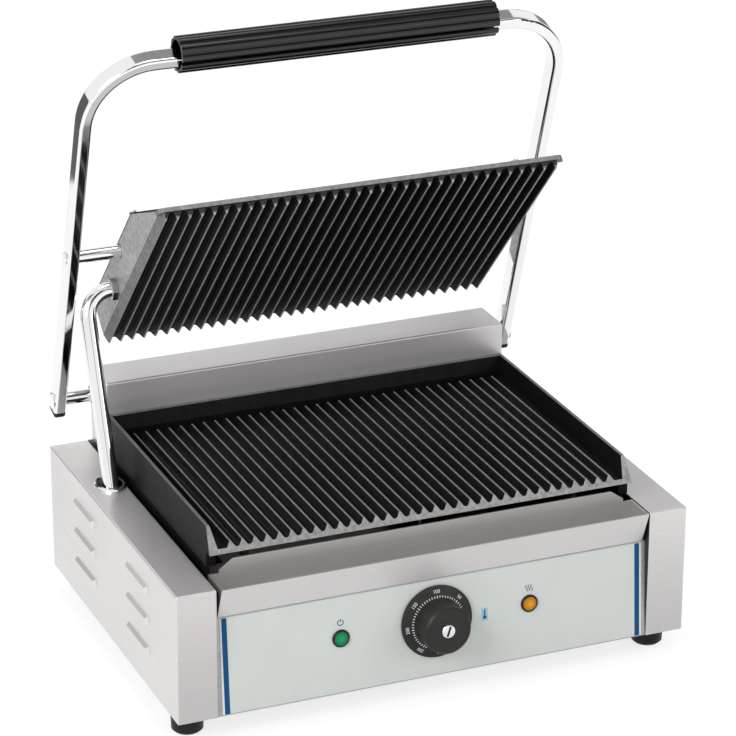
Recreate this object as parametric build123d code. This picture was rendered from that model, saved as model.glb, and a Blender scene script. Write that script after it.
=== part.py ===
from build123d import *
import math

# Contact grill with a ribbed lower plate and a ribbed lid plate that tilts between the arms of a handle.
# X is to the right, Y to the back and Z up. The origin is on the floor, under the middle of the grill.
# The lid is built open, as it stands when the grill is loaded.

# Fits
running_fit = 0.05
press_clearance = 0.02
seat_gap = 0.3
sheet = 1.2

# Base boxes and feet
base_shift = 1.46
side_box_width = 33.0
side_box_height = 107.5
box_edge_radius = 1.5
foot_height = 20.0
foot_top_radius = 13.2
foot_bottom_radius = 12.4
foot_edge_bevel = 2.0
foot_front_inset_x = 17.0
foot_rear_inset_x = 40.0
foot_inset_y = 28.0
foot_screw_radius = 2.0
foot_screw_head_radius = 4.2
foot_screw_head_height = 3.0
foot_counterbore_depth = 8.0
foot_screw_tip = 5.0
wiring_window_width = 90.0
wiring_window_height = 55.0

# Louvres on the outer sides
louvre_length = 48.0
louvre_height = 9.0
louvre_rise = 2.6
louvre_taper = 40.0
louvre_mouth = 2.5
louvre_columns = (-63.0, 66.0)
louvre_rows = (31.5, 57.5, 83.5)

# Front panel, overlay and controls
panel_drop = 26.522
panel_lean = 4.24
panel_recess = 1.0
panel_foot_flange = 14.0
panel_shelf = 19.0
overlay_side_gap = 1.0
overlay_thickness = 0.4
overlay_margin = 1.0
control_drop = 35.0
lamp_spacing = 80.0
lamp_flange_radius = 7.2
lamp_flange_thickness = 1.6
lamp_seat = 0.6
lamp_barrel_radius = 5.0
lamp_barrel_length = 16.0
lamp_lens_radius = 5.6
lamp_dome = 1.3
lamp_wire_bore = 3.0

# Temperature knob and thermostat
knob_skirt_radius = 29.8
knob_skirt_edge = 1.5
knob_skirt_rise = 4.5
knob_hub_foot_radius = 20.4
knob_hub_radius = 19.4
knob_height = 24.0
knob_round = 1.6
knob_gap = 0.8
knob_bore_depth = 14.0
knob_disc_radius = 5.5
knob_disc_recess = 1.4
knob_disc_dome = 0.5
shaft_radius = 3.0
shaft_reach = 18.0
thermostat_bush_radius = 4.8
thermostat_width = 40.0
thermostat_height = 34.0
thermostat_depth = 24.0
bulb_radius = 3.0
bulb_front_y = -70.0
bulb_rear_y = 20.0
capillary_radius = 1.2
capillary_bend = 6.0
capillary_drop_gap = 7.5

# Drip tray
tray_side_gap = 2.5
tray_front_overhang = 4.0
tray_front_lean = 11.0
tray_height = 27.5
tray_depth = 30.5
tray_apron_rise = 10.8
tray_apron_chamfer_x = 11.0
tray_apron_chamfer_z = 8.0
tray_apron_inset = 8.5

# Rear panel and hinge housing
housing_side_gap = 1.0
housing_front_gap = 1.0
housing_depth = 41.5
housing_rise = 63.8
housing_overhang = 3.0
housing_screw_inset = 37.5
housing_screw_rise = 12.0
screw_head_radius = 3.2
screw_head_height = 1.6
screw_radius = 1.6
screw_length = 6.0
vent_slot_width = 5.0
vent_slot_height = 40.0
vent_slot_pitch = 18.0
vent_slot_count = 9
vent_slot_sill = 30.0
gland_inset = 52.0
gland_sill = 26.0
gland_hex_radius = 12.0
gland_length = 12.0
gland_nut_length = 5.0
gland_thread_radius = 8.0
gland_bore = 5.0

# Lower grill plate
lower_width = 357.0
lower_depth = 243.5
lower_front_inset = 25.0
lower_side_gap = 3.5
lower_clear = 4.5
lower_skirt = 12.4
lower_skirt_wall = 8.0
lower_skirt_setback = 8.0
lower_floor = 3.4
lower_rib_height = 4.4
lower_rib_side_gap = 10.0
lower_rib_tip = 1.0
lower_groove_bottom = 3.0
lower_groove_round = 2.4
lower_rib_rear_gap = 9.0
rim_rise = 11.6
rim_top = 2.5
rim_root = 7.5
rim_draft = 2.0
lower_front_run = 12.4
rib_pitch = 10.0

# Under the lower plate
support_flange = 12.0
support_inset = 2.5
support_end_gap = 4.0
shield_front_gap = 39.0
shield_rear_gap = 12.0
shield_wiring_gap = 0.5
element_radius = 3.5
element_bend = 16.0
element_skirt_gap = 30.5
element_pad_gap = 12.0
element_front_inset = 29.0
element_rear_inset = 19.5
element_tail = 14.0
clamp_y = -20.0
clamp_width = 20.0
clamp_thickness = 2.0
clamp_overlap = 10.0
clamp_bolt_inset = 35.0
clamp_bolt_radius = 2.5
clamp_bolt_head_radius = 4.5
clamp_bolt_head_height = 1.6
terminal_x = 70.0
terminal_y = 90.0
terminal_width = 54.0
terminal_depth = 20.0
terminal_height = 20.0
terminal_ways = 5
terminal_screw_radius = 2.4
terminal_screw_depth = 8.0

# Hinge and handle
hinge_setback = 10.5
hinge_rise = 42.9
hinge_shaft_radius = 5.5
hinge_bush_radius = 7.5
hinge_bush_flange_radius = 9.5
hinge_bush_flange = 2.0
hinge_bush_length = 12.0
left_arm_gap = 26.0
right_arm_gap = 9.0
bar_width = 10.0
bar_depth = 16.0
bar_corner = 2.5
bar_wall = 1.5
handle_length = 331.0
handle_bend = 52.0
handle_lean = 18.7
arm_tail = 8.0
plug_length = 8.0
plug_cap = 5.6
plug_bevel = 2.6
plug_gap = 0.1
bolt_head_height = 1.5
shaft_bolt_radius = 7.0
pin_bolt_radius = 5.2
grip_end_gap = 67.25
grip_shift = 3.5
grip_rise = 3.0
grip_radius = 14.5
grip_lobe_count = 10
grip_lobe_radius = 5.0
grip_slit = 2.6
grip_slit_angle = 180.0
grip_mouth_radius = 11.6
grip_mouth_depth = 9.0
grip_fit = 0.15

# Lid plate
upper_side_gap = 10.5
upper_depth_gap = 23.5
upper_height = 41.0
upper_nose_run = 4.5
upper_nose_rise = 4.4
upper_lip_rise = 8.2
upper_lip_depth = 2.5
upper_lip_setback = 6.0
upper_lip_reach = 3.5
upper_lip_round = 5.0
upper_slope_run = 64.5
upper_rib_height = 5.0
upper_rib_side_gap = 2.5
upper_rib_tip = 0.8
upper_groove_bottom = 2.8
upper_groove_round = 1.7
upper_floor = 6.0
upper_wall = 6.0
upper_slope_wall = 9.0
upper_edge_draft = 8.0
plate_open_angle = 46.5
pin_from_rear = 97.9
pin_from_back = 6.2
pin_on_arm = 148.0
pin_radius = 5.4
pin_bush_radius = 6.0
pin_pad_width = 22.0
pin_pad_length = 10.0
cover_emboss_inset = 16.0
cover_emboss_rise = 5.0
cover_emboss_round = 8.0
cover_screw_inset = 3.0
upper_element_inset = 54.0
insulation_gap = 3.0
insulation_pad_gap = 4.0

# Conduit from the left box to the lid plate
conduit_radius = 6.5
conduit_wall = 1.3
conduit_bend = 21.0
conduit_inset = 4.0
conduit_from_rear = 64.4
conduit_from_ribs = 18.1
conduit_lean = 19.94
conduit_reach = 161.0
conduit_nut_radius = 9.0
conduit_nut_length = 5.0
ferrule_offset = 2.4
ferrule_clear_x = 2.8
ferrule_clear_y = 6.7
ferrule_wall = 1.5
ferrule_flange = 3.0
ferrule_height = 2.4
ferrule_neck = 3.0

# Levels and lines worked out from the sizes above
lower_half = lower_width / 2
inner_half = lower_half + lower_side_gap
base_half = inner_half + side_box_width
base_depth = lower_front_inset + lower_depth + housing_front_gap + housing_depth - housing_overhang
front_y = base_shift - base_depth / 2
back_y = base_shift + base_depth / 2
box_bottom = foot_height
box_top = box_bottom + side_box_height
floor_top = box_bottom + sheet
foot_front_x = base_half - foot_front_inset_x
foot_rear_x = base_half - foot_rear_inset_x
foot_front_y = front_y + foot_inset_y
foot_rear_y = back_y - foot_inset_y
panel_y = front_y + panel_recess
panel_height = (side_box_height - panel_drop) / math.cos(math.radians(panel_lean))
control_height = panel_height - control_drop
panel_top_y = panel_y + panel_height * math.sin(math.radians(panel_lean))
panel_top_z = box_bottom + panel_height * math.cos(math.radians(panel_lean))
housing_half = lower_half - housing_side_gap
housing_back = back_y + housing_overhang
housing_front = housing_back - housing_depth
housing_top = box_top + housing_rise
hinge_y = housing_back - hinge_setback
hinge_z = box_top + hinge_rise
lower_front = front_y + lower_front_inset
lower_rear = lower_front + lower_depth
lower_bottom = box_top + lower_clear
lip_z = lower_bottom + lower_skirt
valley_z = lip_z + lower_floor
tip_z = valley_z + lower_rib_height
rim_z = tip_z + rim_rise
tray_floor = panel_top_z + seat_gap
tray_top = tray_floor + tray_height
tray_front = front_y - tray_front_overhang
tray_back = tray_front + tray_depth
tray_half = inner_half - tray_side_gap
overlay_half_width = tray_half - overlay_side_gap
left_arm_x = -housing_half - left_arm_gap - bar_width / 2
right_arm_x = housing_half + right_arm_gap + bar_width / 2
left_arm_outer = left_arm_x - bar_width / 2
right_arm_outer = right_arm_x + bar_width / 2
grip_length = right_arm_x - left_arm_x - 2 * grip_end_gap
upper_half = lower_half - upper_side_gap
upper_width = 2 * upper_half
upper_depth = lower_depth - upper_depth_gap
pin_from_ribs = upper_height - pin_from_back
lower_rib_count = 1 + int((lower_width - 2 * rim_root - 2 * lower_rib_side_gap) / rib_pitch)
upper_rib_count = 1 + int((upper_width - 2 * upper_rib_side_gap) / rib_pitch)
upper_floor_z = upper_rib_height + upper_floor

# Places of the parts that lean or tilt
panel_place = Pos(0, panel_y, box_bottom) * Rot(-panel_lean, 0, 0)
knob_place = panel_place * Pos(0, -overlay_thickness, control_height) * Rot(90, 0, 0)
handle_place = Pos(0, hinge_y, hinge_z) * Rot(handle_lean, 0, 0)
pin_y = hinge_y - pin_on_arm * math.sin(math.radians(handle_lean))
pin_z = hinge_z + pin_on_arm * math.cos(math.radians(handle_lean))
lid_place = Pos(0, pin_y, pin_z) * Rot(-plate_open_angle, 0, 0) * Pos(0, pin_from_rear, -pin_from_ribs)
conduit_pin = lid_place * Pos(0, -conduit_from_rear, conduit_from_ribs)
conduit_y = conduit_pin.position.Y
conduit_z = conduit_pin.position.Z
conduit_x = conduit_inset - inner_half - side_box_width / 2
conduit_slope = math.tan(math.radians(conduit_lean))
ferrule_y = conduit_y - (conduit_z - box_top) * conduit_slope + ferrule_offset


# Shared shapes
def block(x0, x1, y0, y1, z0, z1):
    """Box between two corners."""
    return Pos((x0 + x1) / 2, (y0 + y1) / 2, (z0 + z1) / 2) * Box(x1 - x0, y1 - y0, z1 - z0)


def rod_x(x0, x1, y, z, radius):
    """Round rod along X."""
    return Pos((x0 + x1) / 2, y, z) * Rot(0, 90, 0) * Cylinder(radius, x1 - x0)


def rod_y(x, y0, y1, z, radius):
    """Round rod along Y."""
    return Pos(x, (y0 + y1) / 2, z) * Rot(90, 0, 0) * Cylinder(radius, y1 - y0)


def rod_z(x, y, z0, z1, radius):
    """Round rod along Z."""
    return Pos(x, y, (z0 + z1) / 2) * Cylinder(radius, z1 - z0)


def prism_x(points, x0, x1):
    """Profile of (y, z) points, drawn out from x0 to x1."""
    return extrude(Plane.YZ.offset(x0) * make_face(Polyline(*points, close=True)), x1 - x0)


def prism_y(points, y0, y1):
    """Profile of (x, z) points, drawn out from y0 to y1."""
    plane = Plane((0, y1, 0), x_dir=(1, 0, 0), z_dir=(0, -1, 0))
    return extrude(plane * make_face(Polyline(*points, close=True)), y1 - y0)


def turned(points):
    """Profile of (radius, z) points, turned about Z."""
    return revolve(Plane.XZ * make_face(Polyline(*points, close=True)), Axis.Z)


def grooves(count, depth, tip, bottom, round_radius, y0, y1):
    """Row of round-bottomed grooves between count ribs, cut down from z = 0."""
    half_top = (rib_pitch - tip) / 2
    half_bottom = bottom / 2
    outline = make_face(
        Polyline(
            (-half_top, 0),
            (-half_bottom, -depth),
            (half_bottom, -depth),
            (half_top, 0),
            close=True,
        )
    )
    groove = fillet(outline.vertices().group_by(Axis.Y)[0], round_radius)
    first = -(count - 2) * rib_pitch / 2
    row = [Pos(first + i * rib_pitch, 0) * groove for i in range(count - 1)]
    plane = Plane((0, y1, 0), x_dir=(1, 0, 0), z_dir=(0, -1, 0))
    return extrude(plane * (Sketch() + row), y1 - y0)


def heating_element(half_width, cross_y, tail_y, z, tail_z):
    """Heating rod bent to a U, with two tails turned towards tail_z."""
    tail_bend = min(element_bend, abs(tail_z - z) * 0.6)
    path = FilletPolyline(
        (-half_width, tail_y, tail_z),
        (-half_width, tail_y, z),
        (-half_width, cross_y, z),
        (half_width, cross_y, z),
        (half_width, tail_y, z),
        (half_width, tail_y, tail_z),
        radius=[tail_bend, element_bend, element_bend, tail_bend],
    )
    start = Plane(path @ 0, z_dir=path % 0)
    return sweep(start * Circle(element_radius), path)


def both_sides(shape):
    """The shape and its mirror image in X, as one group."""
    return shape + mirror(shape, Plane.YZ)


def save(name, shape):
    """Write one piece."""
    export_step(shape, f"parts/{name}.step")


# Side boxes
def louvre(y, z):
    """Raised hood of one louvre on the right side."""
    plane = Plane((base_half, y, z), x_dir=(0, 1, 0), z_dir=(1, 0, 0))
    return extrude(plane * Rectangle(louvre_length, louvre_height), louvre_rise, taper=louvre_taper)


def louvre_mouth_cut(y, z):
    """Hollow of one louvre, open below and through the wall."""
    hollow = Pos(-sheet, 0, -louvre_mouth) * louvre(y, z)
    sill = z - louvre_height / 2
    reach = base_half + louvre_rise
    keep = block(inner_half, reach, y - louvre_length, y + louvre_length, sill, sill + louvre_height)
    return hollow & keep


def side_box():
    """Folded box on the right, open below, with louvres in its outer side."""
    shell = block(inner_half, base_half, front_y, back_y, box_bottom, box_top)
    rims = shell.edges().filter_by(Axis.Z) + shell.edges().group_by(Axis.Z)[-1]
    shell = fillet(rims, box_edge_radius)
    shell -= block(
        inner_half + sheet,
        base_half - sheet,
        front_y + sheet,
        back_y - sheet,
        box_bottom,
        box_top - sheet,
    )
    shell -= block(inner_half, inner_half + sheet, front_y + sheet, back_y - sheet, box_bottom, floor_top)
    window_mid = (box_bottom + box_top) / 2
    half_window = wiring_window_height / 2
    shell -= block(
        inner_half - sheet,
        inner_half + 2 * sheet,
        -wiring_window_width / 2,
        wiring_window_width / 2,
        window_mid - half_window,
        window_mid + half_window,
    )
    for y in louvre_columns:
        for row in louvre_rows:
            shell += louvre(y, box_bottom + row)
    for y in louvre_columns:
        for row in louvre_rows:
            shell -= louvre_mouth_cut(y, box_bottom + row)
    return shell


ferrule_half_x = conduit_radius + ferrule_clear_x
ferrule_half_y = conduit_radius + ferrule_clear_y


def ferrule_ring(extra, z0, z1):
    """Oval plug round the conduit, wider than the bore by extra."""
    oval = Pos(conduit_x, ferrule_y, z0) * Ellipse(ferrule_half_x + extra, ferrule_half_y + extra)
    return extrude(oval, z1 - z0)


right_side_box = side_box()
left_side_box = mirror(right_side_box, Plane.YZ)
left_side_box -= ferrule_ring(ferrule_wall + running_fit, box_top - 2 * sheet, box_top + sheet)
save("left_side_box", left_side_box)
save("right_side_box", right_side_box)

ferrule = ferrule_ring(ferrule_flange, box_top, box_top + ferrule_height)
ferrule = chamfer(ferrule.edges().group_by(Axis.Z)[-1], ferrule_height * 0.4)
ferrule += ferrule_ring(ferrule_wall, box_top - ferrule_neck, box_top)
ferrule -= ferrule_ring(0, box_top - 2 * ferrule_neck, box_top + 2 * ferrule_height)
save("conduit_ferrule", ferrule)


# Base plate
base_plate = block(
    -inner_half,
    inner_half,
    panel_y + sheet + seat_gap,
    back_y,
    box_bottom,
    floor_top,
)
for side in (-1, 1):
    inner_edge = side * inner_half
    outer_edge = side * (base_half - sheet)
    base_plate += block(
        min(inner_edge, outer_edge),
        max(inner_edge, outer_edge),
        panel_y + sheet + seat_gap,
        back_y - sheet,
        box_bottom,
        floor_top,
    )
foot_places = {
    "front_left_foot": (-foot_front_x, foot_front_y),
    "front_right_foot": (foot_front_x, foot_front_y),
    "rear_left_foot": (-foot_rear_x, foot_rear_y),
    "rear_right_foot": (foot_rear_x, foot_rear_y),
}
for x, y in foot_places.values():
    base_plate -= rod_z(x, y, box_bottom - sheet, floor_top + sheet, foot_screw_radius + running_fit)
for i in range(vent_slot_count):
    slot_x = (i - (vent_slot_count - 1) / 2) * vent_slot_pitch
    half_slot = vent_slot_width / 2
    base_plate -= block(
        slot_x - half_slot,
        slot_x + half_slot,
        -vent_slot_height,
        vent_slot_height,
        box_bottom - sheet,
        floor_top + sheet,
    )
save("base_plate", base_plate)


# Feet and their screws
def rubber_foot(x, y):
    """Tapered foot with a bore for its screw."""
    foot = Cone(foot_bottom_radius, foot_top_radius, foot_height)
    foot = chamfer(foot.edges().group_by(Axis.Z)[0], foot_edge_bevel)
    foot = Pos(x, y, foot_height / 2) * foot
    foot -= rod_z(x, y, 0, foot_height, foot_screw_radius + running_fit)
    foot -= rod_z(x, y, 0, foot_counterbore_depth, foot_screw_head_radius + seat_gap)
    return foot


def foot_screw(x, y):
    """Screw up through a foot into the base plate."""
    head_top = foot_counterbore_depth
    shape = rod_z(x, y, head_top - foot_screw_head_height, head_top, foot_screw_head_radius)
    return shape + rod_z(x, y, head_top, floor_top + foot_screw_tip, foot_screw_radius)


for name, (x, y) in foot_places.items():
    save(name, rubber_foot(x, y))
foot_screws = Part() + [foot_screw(x, y) for x, y in foot_places.values()]
save("foot_screws", foot_screws)


# Front panel, printed overlay and lamps
control_xs = (-lamp_spacing, lamp_spacing)
front_panel = panel_place * block(-inner_half, inner_half, 0, sheet, 0, panel_height - seat_gap)
front_panel += block(
    -inner_half,
    inner_half,
    panel_y + sheet / 2,
    panel_y + panel_foot_flange,
    floor_top,
    floor_top + sheet,
)
front_panel += block(
    -inner_half,
    inner_half,
    panel_top_y,
    panel_top_y + panel_shelf,
    panel_top_z - sheet,
    panel_top_z,
)
overlay = block(
    -overlay_half_width,
    overlay_half_width,
    -overlay_thickness,
    0,
    overlay_margin,
    panel_height - overlay_margin,
)
overlay = panel_place * overlay
for x in control_xs:
    lamp_hole = panel_place * rod_y(x, -sheet, 2 * sheet, control_height, lamp_barrel_radius + running_fit)
    front_panel -= lamp_hole
    overlay -= lamp_hole
knob_hole = panel_place * rod_y(0, -sheet, 2 * sheet, control_height, thermostat_bush_radius + running_fit)
front_panel -= knob_hole
overlay -= knob_hole
save("front_panel", front_panel)
save("control_overlay", overlay)


def lamp_bezel(x):
    """Round lamp body behind the panel with a ring in front of it."""
    flange = turned(
        [
            (0, 0),
            (lamp_flange_radius, 0),
            (lamp_flange_radius, lamp_flange_thickness * 0.6),
            (lamp_flange_radius - lamp_flange_thickness * 0.4, lamp_flange_thickness),
            (0, lamp_flange_thickness),
        ]
    )
    body = flange + rod_z(0, 0, -lamp_barrel_length, 0, lamp_barrel_radius)
    body -= rod_z(0, 0, lamp_seat, 2 * lamp_flange_thickness, lamp_lens_radius)
    body -= rod_z(0, 0, -2 * lamp_barrel_length, lamp_flange_thickness, lamp_wire_bore)
    return knob_place * Pos(x, 0, 0) * body


def lamp_lens(x):
    """Domed coloured lens that fills the ring."""
    rim = lamp_lens_radius - press_clearance
    lens = turned(
        [
            (0, lamp_seat),
            (rim, lamp_seat),
            (rim, lamp_flange_thickness),
            (rim * 0.85, lamp_flange_thickness + lamp_dome * 0.45),
            (rim * 0.5, lamp_flange_thickness + lamp_dome * 0.85),
            (0, lamp_flange_thickness + lamp_dome),
        ]
    )
    return knob_place * Pos(x, 0, 0) * lens


save("power_lamp_bezel", lamp_bezel(-lamp_spacing))
save("power_lamp_lens", lamp_lens(-lamp_spacing))
save("heat_lamp_bezel", lamp_bezel(lamp_spacing))
save("heat_lamp_lens", lamp_lens(lamp_spacing))


# Knob, its disc, and the thermostat behind the panel
knob_face = knob_gap + knob_height
knob = turned(
    [
        (0, knob_gap),
        (knob_skirt_radius, knob_gap),
        (knob_skirt_radius, knob_gap + knob_skirt_edge),
        (knob_hub_foot_radius, knob_gap + knob_skirt_rise),
        (knob_hub_radius, knob_face - knob_round),
        (knob_hub_radius - knob_round, knob_face),
        (0, knob_face),
    ]
)
knob -= rod_z(0, 0, 0, knob_gap + knob_bore_depth, shaft_radius + press_clearance)
knob -= rod_z(0, 0, knob_face - knob_disc_recess, knob_face, knob_disc_radius + press_clearance)
save("temperature_knob", knob_place * knob)

disc_foot = knob_face - knob_disc_recess
disc = turned(
    [
        (0, disc_foot),
        (knob_disc_radius, disc_foot),
        (knob_disc_radius, knob_face),
        (knob_disc_radius - knob_disc_dome, knob_face + knob_disc_dome),
        (0, knob_face + knob_disc_dome),
    ]
)
save("knob_disc", knob_place * disc)

panel_back = -overlay_thickness - sheet
shaft_inner = panel_back - shaft_reach
save("thermostat_shaft", knob_place * rod_z(0, 0, shaft_inner, knob_gap + knob_bore_depth, shaft_radius))

thermostat = block(
    -thermostat_width / 2,
    thermostat_width / 2,
    -thermostat_height / 2,
    thermostat_height / 2,
    panel_back - thermostat_depth,
    panel_back,
)
thermostat = chamfer(thermostat.edges().filter_by(Axis.Z), thermostat_height * 0.12)
thermostat += rod_z(0, 0, panel_back, 0, thermostat_bush_radius)
thermostat -= rod_z(0, 0, shaft_inner - seat_gap, sheet, shaft_radius + running_fit)
save("thermostat_body", knob_place * thermostat)

bulb_z = lip_z - bulb_radius
thermostat_back = knob_place * Pos(0, 0, panel_back - thermostat_depth)
capillary_drop_y = thermostat_back.position.Y + capillary_drop_gap
capillary_path = FilletPolyline(
    (0, bulb_front_y, bulb_z),
    (0, capillary_drop_y, bulb_z),
    (0, capillary_drop_y, thermostat_back.position.Z),
    (0, thermostat_back.position.Y + seat_gap, thermostat_back.position.Z),
    radius=min(capillary_bend, capillary_drop_gap * 0.7),
)
bulb = rod_y(0, bulb_front_y, bulb_rear_y, bulb_z, bulb_radius)
bulb += sweep(Plane(capillary_path @ 0, z_dir=capillary_path % 0) * Circle(capillary_radius), capillary_path)
save("thermostat_bulb", bulb)


# Drip tray between the boxes
tray_foot_y = tray_front + tray_front_lean
tray = prism_x(
    [
        (tray_back, tray_floor),
        (tray_foot_y, tray_floor),
        (tray_front, tray_top),
        (tray_back, tray_top),
    ],
    -tray_half,
    tray_half,
)
tray -= prism_x(
    [
        (tray_back - sheet, tray_floor + sheet),
        (tray_foot_y + sheet, tray_floor + sheet),
        (tray_front + sheet, tray_top),
        (tray_front + sheet, tray_top + sheet),
        (tray_back - sheet, tray_top + sheet),
    ],
    -tray_half + sheet,
    tray_half - sheet,
)
apron_low = tray_half - tray_apron_inset
apron_high = apron_low - tray_apron_chamfer_x
apron_top = tray_top + tray_apron_rise
tray += prism_y(
    [
        (-apron_low, tray_top - sheet),
        (apron_low, tray_top - sheet),
        (apron_low, apron_top - tray_apron_chamfer_z),
        (apron_high, apron_top),
        (-apron_high, apron_top),
        (-apron_low, apron_top - tray_apron_chamfer_z),
    ],
    tray_back - sheet,
    tray_back,
)
save("drip_tray", tray)


# Rear panel with the shelf under the hinge housing
rear_panel = block(-inner_half, inner_half, back_y - sheet, back_y, floor_top, box_top)
rear_panel += block(-housing_half, housing_half, housing_front, housing_back, box_top - sheet, box_top)
for i in range(vent_slot_count):
    slot_x = (i - (vent_slot_count - 1) / 2) * vent_slot_pitch
    sill = floor_top + vent_slot_sill
    rear_panel -= block(
        slot_x - vent_slot_width / 2,
        slot_x + vent_slot_width / 2,
        back_y - 2 * sheet,
        back_y + sheet,
        sill,
        sill + vent_slot_height,
    )
gland_x = inner_half - gland_inset
gland_z = floor_top + gland_sill
rear_panel -= rod_y(gland_x, back_y - 2 * sheet, back_y + sheet, gland_z, gland_thread_radius + running_fit)
save("rear_panel", rear_panel)

gland_plane = Plane((gland_x, back_y, gland_z), x_dir=(-1, 0, 0), z_dir=(0, 1, 0))
gland = extrude(gland_plane * RegularPolygon(gland_hex_radius, 6), gland_nut_length)
gland += rod_y(gland_x, back_y, back_y + gland_length, gland_z, gland_thread_radius + gland_nut_length * 0.4)
gland += rod_y(gland_x, back_y - gland_length, back_y, gland_z, gland_thread_radius)
gland -= rod_y(gland_x, back_y - 2 * gland_length, back_y + 2 * gland_length, gland_z, gland_bore)
save("cord_gland", gland)


# Hinge housing, its bushes and screws
housing = block(-housing_half, housing_half, housing_front, housing_back, box_top, housing_top)
housing_rims = housing.edges().filter_by(Axis.Z) + housing.edges().group_by(Axis.Z)[-1]
housing = fillet(housing_rims, box_edge_radius)
housing -= block(
    -housing_half + sheet,
    housing_half - sheet,
    housing_front + sheet,
    housing_back - sheet,
    box_top - sheet,
    housing_top - sheet,
)
bush_hole = hinge_bush_radius + press_clearance
housing -= rod_x(-housing_half - sheet, housing_half + sheet, hinge_y, hinge_z, bush_hole)
housing_screw_z = box_top + housing_screw_rise
housing_screw_x = housing_half - housing_screw_inset
for x in (-housing_screw_x, housing_screw_x):
    screw_hole = screw_radius + running_fit
    housing -= rod_y(x, housing_back - 2 * sheet, housing_back + sheet, housing_screw_z, screw_hole)
save("hinge_housing", housing)


def hinge_bush():
    """Flanged bush in the right end of the housing."""
    bush = rod_x(housing_half - hinge_bush_length, housing_half, hinge_y, hinge_z, hinge_bush_radius)
    bush += rod_x(housing_half, housing_half + hinge_bush_flange, hinge_y, hinge_z, hinge_bush_flange_radius)
    inner_end = housing_half - 2 * hinge_bush_length
    outer_end = housing_half + 2 * hinge_bush_flange
    return bush - rod_x(inner_end, outer_end, hinge_y, hinge_z, hinge_shaft_radius + running_fit)


right_bush = hinge_bush()
save("hinge_bush_right", right_bush)
save("hinge_bush_left", mirror(right_bush, Plane.YZ))

housing_screw = rod_y(
    housing_screw_x,
    housing_back,
    housing_back + screw_head_height,
    housing_screw_z,
    screw_head_radius,
)
screw_tip = housing_back - screw_length
housing_screw += rod_y(housing_screw_x, screw_tip, housing_back, housing_screw_z, screw_radius)
save("housing_screws", both_sides(housing_screw))


# Lower grill plate
def rim_inner(z, root, top):
    """Place of a rim's inner face at height z, between its root and its top."""
    return root + (top - root) * (z - valley_z) / (rim_z - valley_z)


def lower_plate():
    """Cast plate with a rim on three sides, skirts below and ribs from front to back."""
    root_x = lower_half - rim_root
    top_outer_x = lower_half - rim_draft
    top_inner_x = top_outer_x - rim_top
    tip_x = rim_inner(tip_z, root_x, top_inner_x)
    skirt_x = lower_half - lower_skirt_wall
    plate = prism_y(
        [
            (-lower_half, lower_bottom),
            (-lower_half, lip_z),
            (-top_outer_x, rim_z),
            (-top_inner_x, rim_z),
            (-tip_x, tip_z),
            (tip_x, tip_z),
            (top_inner_x, rim_z),
            (top_outer_x, rim_z),
            (lower_half, lip_z),
            (lower_half, lower_bottom),
            (skirt_x, lower_bottom),
            (skirt_x, lip_z),
            (-skirt_x, lip_z),
            (-skirt_x, lower_bottom),
        ],
        lower_front,
        lower_rear,
    )
    root_y = lower_rear - rim_root
    rib_rear = root_y - lower_rib_rear_gap
    last_tip = (lower_rib_count - 1) * rib_pitch / 2 + lower_rib_tip / 2
    flank = (rib_pitch - lower_rib_tip - lower_groove_bottom) / 2
    row = grooves(
        lower_rib_count,
        lower_rib_height,
        lower_rib_tip,
        lower_groove_bottom,
        lower_groove_round,
        lower_front,
        rib_rear + flank,
    )
    plate -= Pos(0, 0, tip_z) * row
    margin = prism_y(
        [
            (last_tip, tip_z),
            (last_tip + flank, valley_z),
            (root_x, valley_z),
            (tip_x, tip_z),
        ],
        lower_front,
        root_y,
    )
    plate -= both_sides(margin)
    plate -= prism_x(
        [
            (rib_rear, tip_z),
            (rib_rear + flank, valley_z),
            (root_y, valley_z),
            (root_y, tip_z),
        ],
        -root_x,
        root_x,
    )
    plate += prism_x(
        [
            (lower_rear - lower_skirt_wall, lower_bottom),
            (lower_rear, lower_bottom),
            (lower_rear, rim_z),
            (lower_rear - rim_top, rim_z),
            (root_y, valley_z),
            (lower_rear - lower_skirt_wall, lip_z),
        ],
        -top_inner_x,
        top_inner_x,
    )
    slope = lower_front_run / (rim_z - lip_z)
    above = rim_z + rim_rise
    plate -= prism_x(
        [
            (lower_front - lower_front_run, lip_z),
            (lower_front, lip_z),
            (lower_front + slope * (above - lip_z), above),
            (lower_front - lower_front_run, above),
        ],
        -lower_width,
        lower_width,
    )
    plate -= block(
        -lower_width,
        lower_width,
        lower_front - lower_skirt_setback,
        lower_front + lower_skirt_setback,
        lower_bottom - lower_skirt,
        lip_z,
    )
    return plate


save("lower_plate", lower_plate())


# Supports, heat shield, heating element, clamp and terminal block below the plate
support_outer = lower_half - support_inset
support_inner = support_outer - support_flange
support = prism_y(
    [
        (support_inner, floor_top),
        (support_outer, floor_top),
        (support_outer, lower_bottom),
        (support_inner, lower_bottom),
        (support_inner, lower_bottom - sheet),
        (support_outer - sheet, lower_bottom - sheet),
        (support_outer - sheet, floor_top + sheet),
        (support_inner, floor_top + sheet),
    ],
    lower_front + lower_skirt_setback + support_end_gap,
    lower_rear - support_end_gap,
)
save("plate_support_right", support)
save("plate_support_left", mirror(support, Plane.YZ))

shield_half = lower_half - lower_skirt_wall - shield_wiring_gap
shield = block(
    -shield_half,
    shield_half,
    lower_front + shield_front_gap,
    lower_rear - shield_rear_gap,
    lower_bottom,
    lower_bottom + sheet,
)
save("heat_shield", shield)

lower_element_x = lower_half - lower_skirt_wall - element_skirt_gap
lower_element = heating_element(
    lower_element_x,
    lower_rear - element_rear_inset,
    lower_front + element_front_inset,
    lip_z - element_radius,
    lip_z - element_radius - element_tail,
)
save("lower_element", lower_element)

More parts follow.
